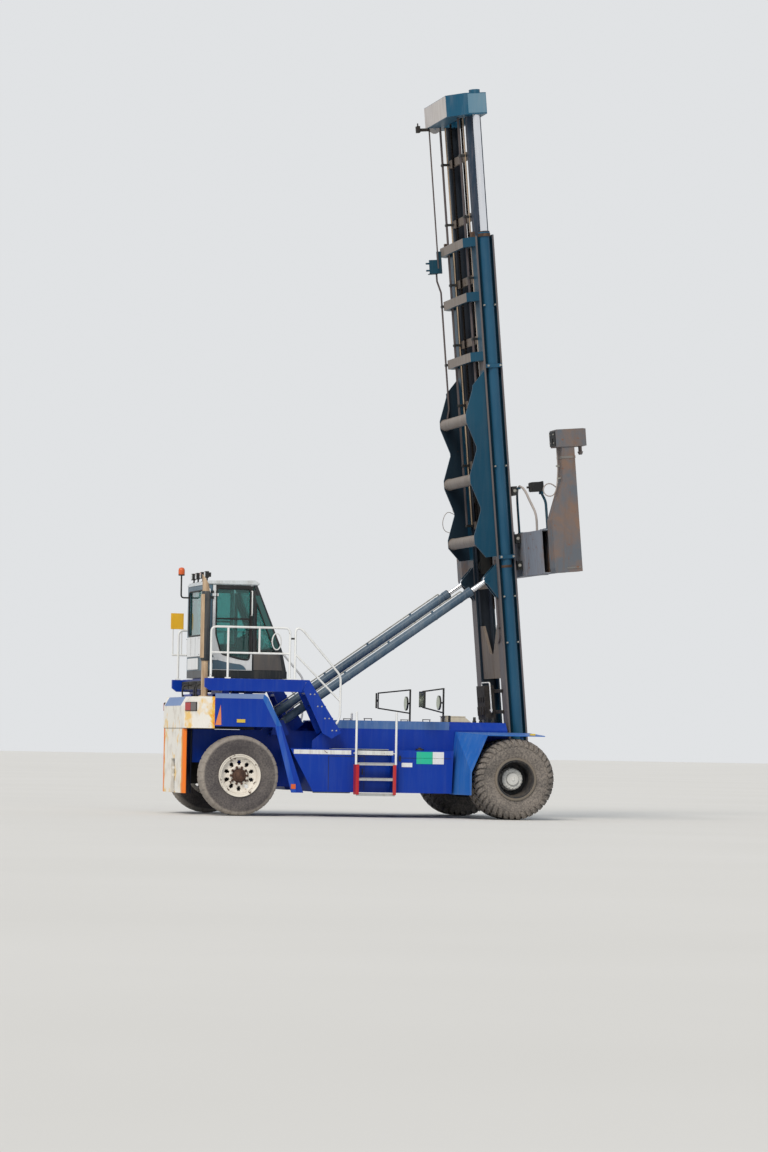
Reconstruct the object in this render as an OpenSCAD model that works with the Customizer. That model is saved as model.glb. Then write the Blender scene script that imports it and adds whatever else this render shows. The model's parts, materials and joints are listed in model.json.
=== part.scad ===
// Empty container handler: a lift truck with a two-stage mast and a side spreader.
// X points forward to the mast, Y to the driver's left, Z up. Heights are from the ground,
// lengths along X are from the drive axle until on_axle() moves the part, and those of the
// rear end are from the steer axle until on_steer() moves it.

/* [Wheels] */
// Distance from the steer axle to the drive axle
wheelbase = 4500; // [4300:10:4700]
// Height of the drive tyres, 14.00-24
drive_tyre_d = 1335; // [1290:5:1350]
// Height of the steer tyres, worn
steer_tyre_d = 1310; // [1280:5:1330]
// Width of every tyre
tyre_w = 375; // [350:5:385]
// Seat of the tyres on the rims
rim_d = 610; // [580:5:640]
// Gap between the twin tyres
twin_gap = 50; // [30:5:60]
// Width over the drive tyres
drive_over = 4100; // [4060:10:4200]
// Width over the steer tyres
steer_over = 3000; // [2960:10:3060]
// Lugs on each half of a drive tyre
drive_lugs = 20; // [16:2:24]
// Blocks on each half of a steer tyre
steer_lugs = 30; // [20:2:36]
// Depth of the drive lugs
lug_h = 28; // [15:1:35]
// Diameter of the white hub on the drive wheel
drive_hub_d = 350; // [300:5:380]
// Diameter of the hub on the steer wheel
steer_hub_d = 240; // [200:5:260]
// Distance of each kingpin from the middle
kingpin_y = 1100; // [1080:5:1110]
// Diameter of the kingpins
kingpin_d = 56; // [40:2:70]

/* [Chassis] */
// Width over the two frame plates
frame_w = 1240; // [1200:10:1280]
// Thickness of the frame plates
frame_t = 40; // [25:1:50]
// Underside of the frame between the axles
frame_low = 480; // [450:5:520]
// Top of the frame and of the deck's walls
frame_top = 1400; // [1390:1:1405]
// Rear face of the counterweight behind the steer axle
rear_overhang = 825; // [810:5:900]
// Half width of the flat rear face
rear_flat = 900; // [850:10:950]
// Underside of the lower counterweight
weight_low = 350; // [300:5:420]
// Height of the joint between the two blocks
weight_split = 1410; // [1406:1:1430]
// Top of the upper block
weight_top = 1930; // [1880:5:1950]
// Length of the white sides of the upper block
weight_side = 400; // [360:5:440]
// Half width of the body over fenders and tanks
body_y = 1450; // [1430:5:1460]
// Thickness of fender plates
skin_t = 14; // [8:1:20]
// Top of the rear fenders
fender_top = 1985; // [1960:5:2000]
// Top of the side tanks
tank_top = 1110; // [1080:5:1120]
// Underside of the side tanks
tank_low = 410; // [380:5:440]
// Half width of the raised deck
deck_y = 1190; // [1150:5:1200]
// Top of the raised deck
deck_top = 1590; // [1560:5:1620]
// Rear end of the raised deck ahead of the steer axle
deck_rear = 1260; // [1240:5:1290]
// Width of the deck's slanted upper edges
deck_edge = 130; // [100:5:150]
// Diameter of the drive axle tube
axle_d = 380; // [340:5:400]

/* [Cab and platform] */
// Top of the walking platform
platform_top = 2230; // [2210:5:2260]
// Depth of the platform's side channels
platform_h = 200; // [150:5:205]
// Half width of the cab
cab_y = 800; // [770:5:810]
// Rear face of the cab, from the steer axle
cab_rear_x = -470; // [-490:5:-450]
// Top of the cab floor
cab_floor_top = 2370; // [2350:5:2400]
// Underside of the cab roof
cab_roof_low = 3780; // [3720:5:3820]
// Thickness of the cab walls
cab_t = 60; // [45:1:70]
// Thickness of the panes
pane_t = 8; // [6:1:12]
// Front end of the cab doors, from the steer axle
door_front_x = 310; // [270:5:330]
// Diameter of the handrail tubes
rail_d = 38; // [30:1:45]
// Height of the top rail
rail_top = 3070; // [3000:5:3150]
// Height of the middle rail
rail_mid = 2650; // [2600:5:2700]
// Diameter of the exhaust pipe
pipe_d = 115; // [90:5:130]
// Diameter of the exhaust muffler
muffler_d = 150; // [140:5:180]

/* [Mast] */
// Lean of the mast to the rear as parked, in degrees
lean = 5; // [4:0.5:6]
// Place of the mast pivot ahead of the drive axle
pivot_x = 420; // [410:5:440]
// Height of the mast pivot
pivot_z = 600; // [580:5:620]
// Diameter of the mast pivot pins
pivot_d = 100; // [80:5:110]
// Depth of the outer rails, front to rear
outer_depth = 320; // [310:2:330]
// Thickness of the outer rails
outer_t = 30; // [25:1:32]
// Inner face of the outer rails' webs
outer_web_y = 765; // [760:1:775]
// Top of the outer rails above the pivot
outer_top = 9180; // [8900:10:9190]
// Foot of the outer rails below the pivot
outer_foot = 250; // [200:5:260]
// Clearance of the inner rails in the outer ones
mast_gap = 12; // [8:1:16]
// Thickness of the inner rails' flanges
inner_t = 28; // [22:1:30]
// How far the inner mast is raised as parked
raised = 1950; // [1900:10:1960]
// Travel of each stage above where it is parked
lift_more = 5000; // [4500:50:5100]
// Width of the lift cylinders' centres from the middle
lift_y = 885; // [884:1:888]
// Diameter of the lift cylinders' tubes
lift_tube_d = 170; // [160:2:174]
// Diameter of the lift cylinders' rods
lift_rod_d = 120; // [100:2:124]
// Spacing of the cross members of the inner mast
rung_pitch = 1030; // [1000:5:1050]

/* [Tilt cylinders] */
// Distance of the tilt cylinders from the middle
tilt_y = 750; // [740:2:760]
// Place of the rear pivots ahead of the steer axle
tilt_rear_fore = 780; // [760:5:800]
// Height of the rear pivots
tilt_rear_z = 1500; // [1490:5:1510]
// Place of the rod eyes behind the rails' centre line
tilt_eye_back = 313; // [305:1:320]
// Height of the rod eyes above the mast pivot, along the mast
tilt_eye_up = 3420; // [3400:5:3450]
// Diameter of the tilt cylinders' barrels
tilt_barrel_d = 140; // [130:2:146]
// Diameter of the tilt cylinders' rods
tilt_rod_d = 80; // [70:2:90]
// Diameter of the pins at both ends
tilt_pin_d = 60; // [50:2:64]

/* [Spreader] */
// Carriage foot above the mast pivot as parked
carriage_low = 3550; // [3540:5:3560]
// Height of the carriage
carriage_h = 1400; // [1350:10:1450]
// Rear face of the spreader beam ahead of the rails' centre line
beam_back = 290; // [285:1:295]
// Depth of the main beam, front to rear
beam_depth = 370; // [364:2:376]
// Height of the main beam
beam_h = 720; // [680:5:740]
// Half length of the main beam
beam_y = 2100; // [2000:10:2200]
// Wall of the beams
beam_t = 14; // [10:1:16]
// Distance of each twistlock from the middle as parked, 20 foot
lock_y = 2927; // [2920:1:2935]
// Travel of each arm out to 40 foot
arm_travel = 3066; // [3000:1:3070]
// Travel of the side shift to each side
shift_travel = 600; // [500:10:620]
// Width of the legs
leg_w = 300; // [280:5:320]
// Diameter of the twistlocks
lock_d = 60; // [50:1:64]

/* [Hidden] */
$fn = 48;

// Clearances shared by everything that fits
seat = 0.3;
run = 5;
// The tilt rods follow the mast in a fixed ratio, so their eyes clear their pins by this
eye_clear = 8;
drive_r = drive_tyre_d / 2;
steer_r = steer_tyre_d / 2;
rim_r = rim_d / 2;
frame_y = frame_w / 2;
axle_r = axle_d / 2;
steer_x = -wheelbase;
rear_x = steer_x - rear_overhang;
tilt_rear_x = steer_x + tilt_rear_fore;
rail_y = body_y - 30;
fender_back = -drive_r - 98;

// Mast lengths: u is ahead of the rails' centre line, w is up the mast from its pivot
outer_u = outer_depth / 2;
inner_u = outer_u - outer_t - mast_gap;
inner_web_y = outer_web_y - 50;
outer_inside = outer_web_y - 145;
inner_inside = outer_inside - 20;
inner_foot = raised - outer_foot + 60;
head_low = outer_top + raised + 70;
head_h = 360;
tube_top = outer_top + 45;
outer_outside = outer_web_y + 135;
foot_top = 130;
chain_u = 51;
chain_t = 24;
sheave_r = 83;
beam_low = carriage_low - 110;
bar_back = outer_u + 30;

// Tilt cylinders: their length and rise as parked, from the two pins
tilt_eye_x = pivot_x - tilt_eye_back * cos(lean) - tilt_eye_up * sin(lean);
tilt_eye_z = pivot_z - tilt_eye_back * sin(lean) + tilt_eye_up * cos(lean);
tilt_len = norm([tilt_eye_x - tilt_rear_x, tilt_eye_z - tilt_rear_z]);
tilt_rise = atan2(tilt_eye_z - tilt_rear_z, tilt_eye_x - tilt_rear_x);

// The part's own origin lies under the middle of its length
leg_front_u = 865;
head_box_w = carriage_low + 1900;
head_box_h = 280;
front_x = pivot_x + leg_front_u * cos(lean) - head_box_w * sin(lean);
mid_x = (rear_x + front_x) / 2;

// Axles: the drums' inner faces, the wheels' discs and the pivot brackets between them
drum_y = 1062;
drum_r = 250;
spindle_r = 120;
wheel_disc_y = drive_over / 2 - tyre_w - twin_gap / 2;
pivot_y0 = 990;
pivot_y1 = 1050;
steer_beam_top = steer_r + 200;
steer_disc_y = steer_over / 2 - 90;
tilt_eye_w = 100;
ladder_x = -2255;
saddle = 180;
deck_slope_run = 420;
tow_z = 700;
tow_d = 50;

deep_blue = "#12409a";
light_blue = "#2a62ae";
mast_blue = "#1f4e66";
dark = "#22262a";

module on_axle() translate([-mid_x, 0, 0]) children();
module on_steer() on_axle() translate([steer_x, 0, 0]) children();
module on_mast() on_axle() translate([pivot_x, 0, pivot_z]) rotate([0, -lean, 0]) children();
module both_sides() {
    children();
    mirror([0, 1, 0]) children();
}

// A plate cut to an outline of [x, z] points, from y0 to y1
module side_plate(points, y0, y1)
    translate([0, y1, 0]) rotate([90, 0, 0]) linear_extrude(y1 - y0) polygon(points);

// A rod along Y
module cross_rod(x, z, r, y0, y1) translate([x, y0, z]) rotate([-90, 0, 0]) cylinder(h = y1 - y0, r = r);

// A box from its low corner to its high corner
module block(low, high) translate(low) cube(high - low);

// A round bar between two points
module bar(a, b, r) {
    v = b - a;
    turn = atan2(v[1], v[0]);
    fall = acos(v[2] / norm(v));
    translate(a) rotate([0, fall, turn]) cylinder(h = norm(v), r = r, $fn = 20);
}

// A tyre about Y, between y0 and y0 + tyre_w; lugs is how many each half of the tread has
module tyre(r, y0, lugs, slant, depth) {
    mid = y0 + tyre_w / 2;
    bead = rim_r + seat;
    belt = r - depth;
    translate([0, mid, 0]) rotate([-90, 0, 0]) rotate_extrude($fn = 60)
        polygon([for (p = [[bead, 0.36], [bead + 25, 0.42], [bead + 110, 0.5], [belt - 95, 0.49],
                           [belt - 25, 0.45], [belt, 0.36]]) [p[0], p[1] * tyre_w],
                 for (p = [[belt, -0.36], [belt - 25, -0.45], [belt - 95, -0.49],
                           [bead + 110, -0.5], [bead + 25, -0.42], [bead, -0.36]])
                     [p[0], p[1] * tyre_w]]);
    for (side = [-1, 1], i = [0 : lugs - 1])
        translate([0, mid, 0]) rotate([0, 360 * i / lugs, 0])
            tread_lug(r, side, PI * r / lugs, slant, depth);
}

// One lug at the top of the wheel: a bar from near the middle out over the shoulder
module tread_lug(r, side, width, slant, depth) {
    length = 0.4 * tyre_w;
    translate([0, side * (0.05 * tyre_w + length / 2), r - depth - 12])
        rotate([0, 0, side * slant]) translate([-width / 2, -length / 2, 0])
            cube([width, length, depth + 12]);
}

// Two plates on edge with cross plates, a belly plate, and a saddle over each axle
module frame() color(deep_blue) {
    rear = rear_x + 200;
    front = 120;
    notch = steer_beam_top + seat;
    both_sides() difference() {
        side_plate([[rear, frame_top], [rear, notch], [steer_x + 640, notch],
                    [steer_x + 800, frame_low], [-380, frame_low], [-250, drive_r],
                    [front, drive_r], [front, frame_top], [tilt_rear_x + 260, frame_top],
                    [tilt_rear_x + 110, tilt_rear_z + 110], [tilt_rear_x - 110, tilt_rear_z + 110],
                    [tilt_rear_x - 260, frame_top]], frame_y - frame_t, frame_y);
        cross_rod(0, drive_r, axle_r + seat, frame_y - 2 * frame_t, frame_y + frame_t);
    }
    inside = frame_y - frame_t;
    for (row = [[steer_x + 820, frame_low], [-3000, frame_low], [-1500, frame_low],
                [front - 60, drive_r + 240]])
        block([row[0], -inside, row[1]], [row[0] + 30, inside, frame_top]);
    block([steer_x + 850, -inside, frame_low], [-400, inside, frame_low + 20]);
    // Saddle that the steer axle's pad bears on
    block([steer_x - saddle, -inside, notch], [steer_x + saddle, inside, notch + 90]);
    // Pins and outriggers of the tilt cylinders' rear ends
    both_sides() {
        cross_rod(tilt_rear_x, tilt_rear_z, tilt_pin_d / 2, frame_y, tilt_y + tilt_eye_w / 2 + 45);
        block([tilt_rear_x - 130, frame_y, frame_top - 75],
              [tilt_rear_x + 160, tilt_y + tilt_eye_w / 2 + 45, frame_top - 5]);
        difference() {
            side_plate([[tilt_rear_x - 120, frame_top - 5], [tilt_rear_x - 70, tilt_rear_z + 70],
                        [tilt_rear_x + 70, tilt_rear_z + 70], [tilt_rear_x + 150, frame_top - 5]],
                       tilt_y + tilt_eye_w / 2 + 10, tilt_y + tilt_eye_w / 2 + 40);
            cross_rod(tilt_rear_x, tilt_rear_z, tilt_pin_d / 2, tilt_y, tilt_y + 200);
        }
    }
}

// Three castings: a low block with the tow pin's recess, one between the frame plates and a wide
// one over the wheels
module counterweight() color("#e9e6dc") {
    sweep_y = 680;
    rear = -rear_overhang;
    front_low = rear + 175;
    low_plan = [[rear, rear_flat - 40], [rear + 40, rear_flat], [rear + 50, rear_flat],
                [rear + 105, rear_flat - 100], [rear + 160, sweep_y], [front_low, sweep_y]];
    difference() {
        translate([0, 0, weight_low]) linear_extrude(weight_split - seat - weight_low)
            polygon(concat(low_plan, [for (i = [5 : -1 : 0]) [low_plan[i][0], -low_plan[i][1]]]));
        // The recess is open below, where the pin comes in
        block([rear - 1, -160, weight_low - 1], [rear + 130, 160, tow_z + 210]);
    }
    // Two ears for the tow pin in their recess
    difference() {
        for (z = [tow_z - 80, tow_z + 40]) block([rear + 5, -90, z], [rear + 131, 90, z + 40]);
        translate([rear + 60, 0, tow_z - 100]) cylinder(h = 200, r = tow_d / 2);
    }
    block([front_low + seat, -frame_y + frame_t + seat, steer_beam_top + 25],
          [-saddle - 70, frame_y - frame_t - seat, weight_split - seat]);
    difference() {
        translate([0, 0, weight_split]) linear_extrude(weight_top - weight_split)
            polygon([[rear, rear_flat], [rear + 210, body_y], [rear + weight_side, body_y],
                     [rear + weight_side, frame_y], [400, frame_y],
                     [400, -frame_y], [rear + weight_side, -frame_y],
                     [rear + weight_side, -body_y], [rear + 210, -body_y],
                     [rear, -rear_flat]]);
        // Sloped shoulder along the top of the rear face
        side_plate([[rear - 10, weight_top - 170], [rear + 90, weight_top + 1],
                    [rear - 10, weight_top + 1]], -body_y - 10, body_y + 10);
        // Pockets of the tail lamps in the slanted corners
        both_sides() translate([rear + 105, (rear_flat + body_y) / 2, weight_top - 160])
            rotate([0, 0, atan2(210, body_y - rear_flat)]) cube([340, 80, 110], center = true);
    }
}

// Side wings over the steer wheels: arch, slanted front leg and a folded top
module rear_fenders() color(deep_blue) {
    x0 = weight_side - rear_overhang + 1;
    outline = [[x0, weight_split + 40], [580, weight_split + 40], [868, tank_low - 20],
               [1070, tank_low - 20], [700, weight_split + 40], [460, fender_top - 60],
               [390, fender_top], [x0, fender_top]];
    both_sides() {
        side_plate(outline, body_y - skin_t, body_y);
        // Folded rim along the top and down the front leg
        difference() {
            side_plate(outline, body_y - 240, body_y - skin_t);
            side_plate([[x0 - 10, weight_split + 40 + skin_t], [570, weight_split + 40 + skin_t],
                        [854, tank_low - 60], [1050, tank_low - 60],
                        [678, weight_split + 34], [446, fender_top - 66],
                        [384, fender_top - skin_t], [x0 - 10, fender_top - skin_t]],
                       body_y - 300, body_y - skin_t + 1);
        }
        block([x0, frame_y + 1, fender_top - 60], [384, body_y - 240, fender_top - 46]);
        block([x0, frame_y + 1, fender_top - 60], [x0 + skin_t, body_y - 240, fender_top]);
    }
}

// Fuel tank and battery box along each side, with a step pocket behind the boarding ladder
module side_tanks() color(deep_blue) both_sides() difference() {
    side_plate([[steer_x + 845, tank_top], [steer_x + 1230, tank_low], [fender_back - 165, tank_low],
                [fender_back - 140, tank_top]], frame_y + seat, body_y);
    block([ladder_x - 290, body_y - 130, tank_low - 1], [ladder_x + 300, body_y + 1, tank_top + 1]);
    block([-1850, body_y - 8, tank_low - 1], [-1842, body_y + 1, tank_top + 1]);
}

// Side view of what slopes away at the deck's rear end, drawn out by gap; x is from the deck's rear
function deck_slope(gap) = [[-10, tank_top + 120 + gap], [-10, deck_top + 10 + gap],
                            [deck_slope_run, deck_top + 10 + gap]];

// Raised deck over the engine bay, with slanted upper edges
module raised_deck() color(light_blue) {
    rear = steer_x + deck_rear;
    front = 80;
    low = tank_top + seat;
    difference() {
        translate([rear, 0, 0]) rotate([90, 0, 90]) linear_extrude(front - rear)
            polygon([[-deck_y, low], [-deck_y, deck_top - deck_edge], [-deck_y + deck_edge, deck_top],
                     [deck_y - deck_edge, deck_top], [deck_y, deck_top - deck_edge],
                     [deck_y, low], [deck_y - skin_t, low],
                     [deck_y - skin_t, deck_top - deck_edge - 6],
                     [deck_y - deck_edge - 6, deck_top - skin_t],
                     [-deck_y + deck_edge + 6, deck_top - skin_t],
                     [-deck_y + skin_t, deck_top - deck_edge - 6],
                     [-deck_y + skin_t, low]]);
        // The rear end slopes down under the stairs
        translate([rear, 0, 0]) side_plate(deck_slope(0), -deck_y - 10, deck_y + 10);
    }
    // Ribs from the frame carry the skin
    for (x = [rear + 540, -1800, -900, -60])
        both_sides() block([x, frame_y + seat, frame_top - 60],
                           [x + 12, deck_y - skin_t, frame_top - 10]);
    for (x = [rear + 540, -60])
        block([x, -frame_y - 60, frame_top + seat], [x + 12, frame_y + 60, deck_top - skin_t]);
}

// Folded plate guards behind and over the drive wheels
module front_fenders() color(light_blue) {
    top = drive_tyre_d + 95;
    outer_top_z = drive_tyre_d + 50;
    back = fender_back;
    // Each row is [x, z] at the inner edge, then [x, z] at the outer edge
    folds = [[[back - 135, tank_low], [back, tank_low]], [[back - 115, 780], [back, 780]],
             [[back - 55, top], [back + 260, outer_top_z]], [[440, top], [470, outer_top_z]]];
    y0 = deck_y + 20;
    y1 = drive_over / 2;
    both_sides() for (i = [0 : 2]) hull() for (end = [0, 1], j = [i, i + 1])
        translate([folds[j][end][0], end == 0 ? y0 : y1 - skin_t, folds[j][end][1] - skin_t])
            cube(skin_t);
    // Brackets to the deck's side
    both_sides() for (x = [back + 65, 300])
        block([x, deck_y + seat, top - 100], [x + 40, y0 + skin_t, top - skin_t + 3]);
}

// Drive axle: a banjo housing with tubes, brake drums and bracket plates with the mast's pins
module drive_axle() color("#3a3a3c") {
    cross_rod(0, drive_r, axle_r, -drum_y, drum_y);
    translate([-290, 0, drive_r]) rotate([0, 90, 0]) cylinder(h = 520, r1 = 290, r2 = 200);
    both_sides() {
        cross_rod(0, drive_r, drum_r, drum_y, drum_y + 240);
        cross_rod(0, drive_r, spindle_r, drum_y + 200, wheel_disc_y - 20);
        cross_rod(0, drive_r, axle_r + 50, pivot_y0, pivot_y1);
        cross_rod(pivot_x, pivot_z, pivot_d / 2 + 70, pivot_y0, pivot_y1);
        side_plate([[0, drive_r - axle_r - 45], [pivot_x, pivot_z - pivot_d / 2 - 70],
                    [pivot_x, pivot_z + pivot_d / 2 + 70], [0, drive_r + axle_r + 45]],
                   pivot_y0, pivot_y1);
        cross_rod(pivot_x, pivot_z, pivot_d / 2, outer_web_y + outer_t + 8, pivot_y1 + 12);
    }
}

// Steer axle: a box beam with forks for the kingpins and its steering cylinder
module steer_axle() color("#3a3a3c") {
    half = 140;
    difference() {
        union() {
            block([-half, -kingpin_y + 110, steer_r - 130], [half, kingpin_y - 110, steer_r + 130]);
            block([-200, -frame_y + 60, steer_r + 130], [200, frame_y - 60, steer_beam_top]);
            both_sides() for (z = [steer_r - 180, steer_r + 130]) {
                block([-75, kingpin_y - 260, z], [75, kingpin_y, z + 50]);
                translate([0, kingpin_y, z]) cylinder(h = 50, r = 85);
            }
        }
        both_sides() translate([0, kingpin_y, steer_r - 200])
            cylinder(h = 400, r = kingpin_d / 2 + seat);
    }
    cylinder_x = -half - 80;
    cross_rod(cylinder_x, steer_r, 60, -330, 330);
    both_sides() {
        cross_rod(cylinder_x, steer_r, 30, 329, 560);
        block([cylinder_x - 70, 240, steer_r - 70], [-half + 1, 270, steer_r + 70]);
    }
}

// Engine and gearbox as one plain block
module engine() color("#4a4d50")
    block([-2900, -420, frame_low + 20], [-1520, 420, frame_top - 110]);

// Walking platform round the cab: side channels, floor plate and posts down to the body
module cab_platform() color(deep_blue) {
    front = 950;
    rear = -600;
    low = platform_top - platform_h;
    block([cab_rear_x + 40, -body_y + 60, platform_top - 30], [front, body_y - 60, platform_top]);
    both_sides() {
        side_plate([[rear, low + 60], [rear + 80, low], [front + 60, low], [front + 150, platform_top],
                    [rear, platform_top]], body_y - 60, body_y);
        for (x = [-300, 250])
            block([x, frame_y - 130, weight_top + seat], [x + 120, frame_y, platform_top - 30]);
        block([-300, frame_y - 20, fender_top + seat], [-180, body_y - 60, low + 60]);
    }
    block([front - 60, -body_y + 60, low + 20], [front, body_y - 60, platform_top - 30]);
    // Rear cross channel behind the cab
    block([cab_rear_x + 40, -body_y + 60, low + 20], [cab_rear_x + 100, body_y - 60, platform_top - 30]);
    // Pedestal of the cab
    block([cab_rear_x + 70, -frame_y, platform_top],
          [cab_knee[0] - 30, frame_y, cab_floor_top - 120 - seat]);
}

// Stairs from the deck's height to the platform, one on each side, cut to the deck they stand on
module stairs() color(deep_blue) both_sides() difference() {
    top = [1100, platform_top];
    foot = [1670, 1340];
    plate = 10;
    outer = rail_y + rail_d / 2 + seat;
    inner = body_y - 480;
    union() {
        for (y = [inner, outer])
            side_plate([[top[0] + seat, top[1]], [top[0] + seat - 60, top[1] - 160],
                        [foot[0] - 300, foot[1] + 30], [foot[0] - 140, foot[1] - 60],
                        [foot[0] + 20, foot[1] + 40], [top[0] + 40, top[1]]], y, y + plate);
        for (i = [0 : 3]) {
            x = 1210 + i * 125;
            z = top[1] - 220 - i * 195;
            // The lowest tread ends at the deck's side
            block([x - 110, i == 3 ? deck_y + seat : inner + plate - 1, z - 25], [x + 90, outer + 1, z]);
        }
    }
    // The deck's slope and side below the inner stringer
    slope = deck_slope(seat);
    translate([deck_rear, 0, 0])
        side_plate([[-10, 0], slope[0], slope[2], [800, deck_top + 10 + seat], [800, 0]], 0, deck_y + seat);
}

// Boarding ladder on each side tank: grip posts, stringers and three treads
module boarding_ladders() both_sides() {
    half = 335;
    y = body_y + 150;
    for (side = [-1, 1]) {
        x = ladder_x + side * half;
        color("white") {
            bar([x, y, 870], [x, y, 1720], rail_d / 2);
            bar([x, y, 1050], [x, body_y + seat, 1050], 12);
        }
        color("#b3202a") block([x - 8, body_y + seat, 375], [x + 8, y + 20, 870]);
    }
    color("silver") for (z = [390, 640, 890])
        block([ladder_x - half + 8, body_y + 10, z - 35], [ladder_x + half - 8, y + 20, z]);
}

// Handrails round the platform and down beside the stairs
module handrails() color("white") {
    r = rail_d / 2;
    rear = -500;
    gate = 810;
    foot = platform_top + seat;
    stair = 1670;
    both_sides() {
        for (x = [rear, -220, 300, gate, gate + 90]) bar([x, rail_y, foot], [x, rail_y, rail_top], r);
        for (z = [rail_mid, rail_top]) bar([rear, rail_y, z], [gate, rail_y, z], r - 2);
        // Stair rail with its kink and foot
        bar([gate + 90, rail_y, rail_top], [stair, rail_y, 2310], r - 2);
        bar([stair, rail_y, 2310], [stair, rail_y, 1620], r);
        bar([stair, rail_y, 1620], [stair - 100, rail_y, 1470], r - 2);
        bar([gate + 90, rail_y, rail_mid], [stair, rail_y, 1890], r - 2);
        // Balls where tubes meet
        for (end = [[rear, rail_top], [gate, rail_top], [gate + 90, rail_top], [stair, 2310],
                    [stair, 1620]])
            translate([end[0], rail_y, end[1]]) sphere(r = r + 2, $fn = 24);
    }
}

// Exhaust: a pipe from the body, a muffler and a bent tail
module exhaust() color("#b08f63") {
    x = -555;
    y = -1190;
    pipe = pipe_d / 2;
    z_low = weight_top + seat;
    translate([x, y, z_low]) cylinder(h = 2550 - z_low, r = pipe);
    color(dark) translate([x, y, 2540]) cylinder(h = 1110, r = muffler_d / 2);
    color(dark) translate([x, y, z_low]) cylinder(h = 16, r = pipe + 35);
    translate([x, y, 3640]) cylinder(h = 130, r = pipe);
    translate([x, y, 3770]) sphere(r = pipe, $fn = 32);
    bar([x, y, 3770], [x + 95, y, 3900], pipe - 2);
}

// Cab floor with sill
module cab_floor() color(dark)
    block([cab_rear_x, -cab_y, cab_floor_top - 120], [cab_toe[0] + 10, cab_y, cab_floor_top]);

// Outline of the cab's side above the floor
cab_knee = [810, 2730];
cab_brow = [door_front_x + cab_t + 10, cab_roof_low];
cab_toe = [890, cab_floor_top];
screen_fall = (cab_knee[0] - cab_brow[0]) / (cab_brow[1] - cab_knee[1]);

// Corners of the quarter's window, drawn in by gap
function quarter_window(gap) =
    [[door_front_x + 60 + gap, cab_floor_top + 100 + gap],
     [cab_toe[0] - cab_t - 80 - gap, cab_floor_top + 100 + gap],
     [cab_knee[0] - cab_t - 70 - gap, cab_knee[1] - 10],
     [door_front_x + 60 + gap, cab_roof_low - 280 - 3 * gap]];

// Rear wall with its window
module cab_rear() color("white") difference() {
    block([cab_rear_x, -cab_y, cab_floor_top + seat],
          [cab_rear_x + cab_t, cab_y, cab_roof_low - seat]);
    block([cab_rear_x - 1, -cab_y + 130, 2950], [cab_rear_x + cab_t + 1, cab_y - 130, 3690]);
}

// Front frame: cowl, leaning posts and the windscreen's opening
module cab_front() color(dark) {
    t = cab_t;
    difference() {
        side_plate([[cab_toe[0], cab_toe[1] + seat], cab_knee, [cab_brow[0], cab_brow[1] - seat],
                    [cab_brow[0] - t, cab_brow[1] - seat], [cab_knee[0] - t, cab_knee[1] - 10],
                    [cab_toe[0] - t, cab_toe[1] + seat]], -cab_y, cab_y);
        // Windscreen and lower pane between the posts
        side_plate([[cab_toe[0] + 50, cab_knee[1] + 40], [cab_toe[0] + 50, cab_brow[1] - 90],
                    [cab_brow[0] - 200, cab_brow[1] - 90], [cab_knee[0] - 200, cab_knee[1] + 40]],
                   -cab_y + 70, cab_y - 70);
        side_plate([[cab_toe[0] + 50, cab_toe[1] + 60], [cab_toe[0] + 50, cab_knee[1] - 40],
                    [cab_knee[0] - 200, cab_knee[1] - 40], [cab_knee[0] - 200, cab_toe[1] + 60]],
                   -cab_y + 70, cab_y - 70);
    }
}

// Fixed side panels: rear post, front quarter with its window
module cab_quarters() color("white") both_sides() {
    back = cab_rear_x + cab_t + seat;
    x0 = door_front_x + 12;
    toe = cab_toe[0] - cab_t - 2;
    knee = cab_knee[0] - cab_t - 2;
    low = cab_floor_top + seat;
    tip = cab_knee[1] - 10 + (knee - x0 - 24) / screen_fall;
    block([back, cab_y - cab_t, low], [back + 40, cab_y, cab_roof_low - seat]);
    // The post's halves of the door's hinges, above and below the door's own
    for (z = hinge_z, end = [-hinge_h - seat, hinge_h + seat]) {
        translate([door_back_x, hinge_y, z + end - hinge_h / 2]) cylinder(h = hinge_h, r = hinge_r);
        block([back + 4, cab_y - 1, z + end - hinge_h / 2],
              [door_back_x - hinge_r + 2, hinge_y, z + end + hinge_h / 2]);
    }
    difference() {
        side_plate([[x0, low], [toe, low], [knee, cab_knee[1] - 10], [x0 + 24, tip], [x0, tip]],
                   cab_y - cab_t, cab_y);
        side_plate(quarter_window(0), cab_y - cab_t - 1, cab_y + 1);
    }
}

// Roof slab with a brow over the windscreen
module cab_roof() color("#c9d0d3") {
    side_plate([[cab_rear_x - 10, cab_roof_low], [cab_brow[0] + 20, cab_roof_low],
                [cab_brow[0] + 45, cab_roof_low + 30], [cab_brow[0] - 40, roof_top(cab_brow[0] - 40)],
                [cab_rear_x + 20, roof_top(cab_rear_x + 20)]], -cab_y - 8, cab_y + 8);
}

// Height of the roof's upper face, which rises to the front
function roof_top(x) = cab_roof_low + 60 + 0.025 * (x - cab_rear_x - 20);

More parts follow.
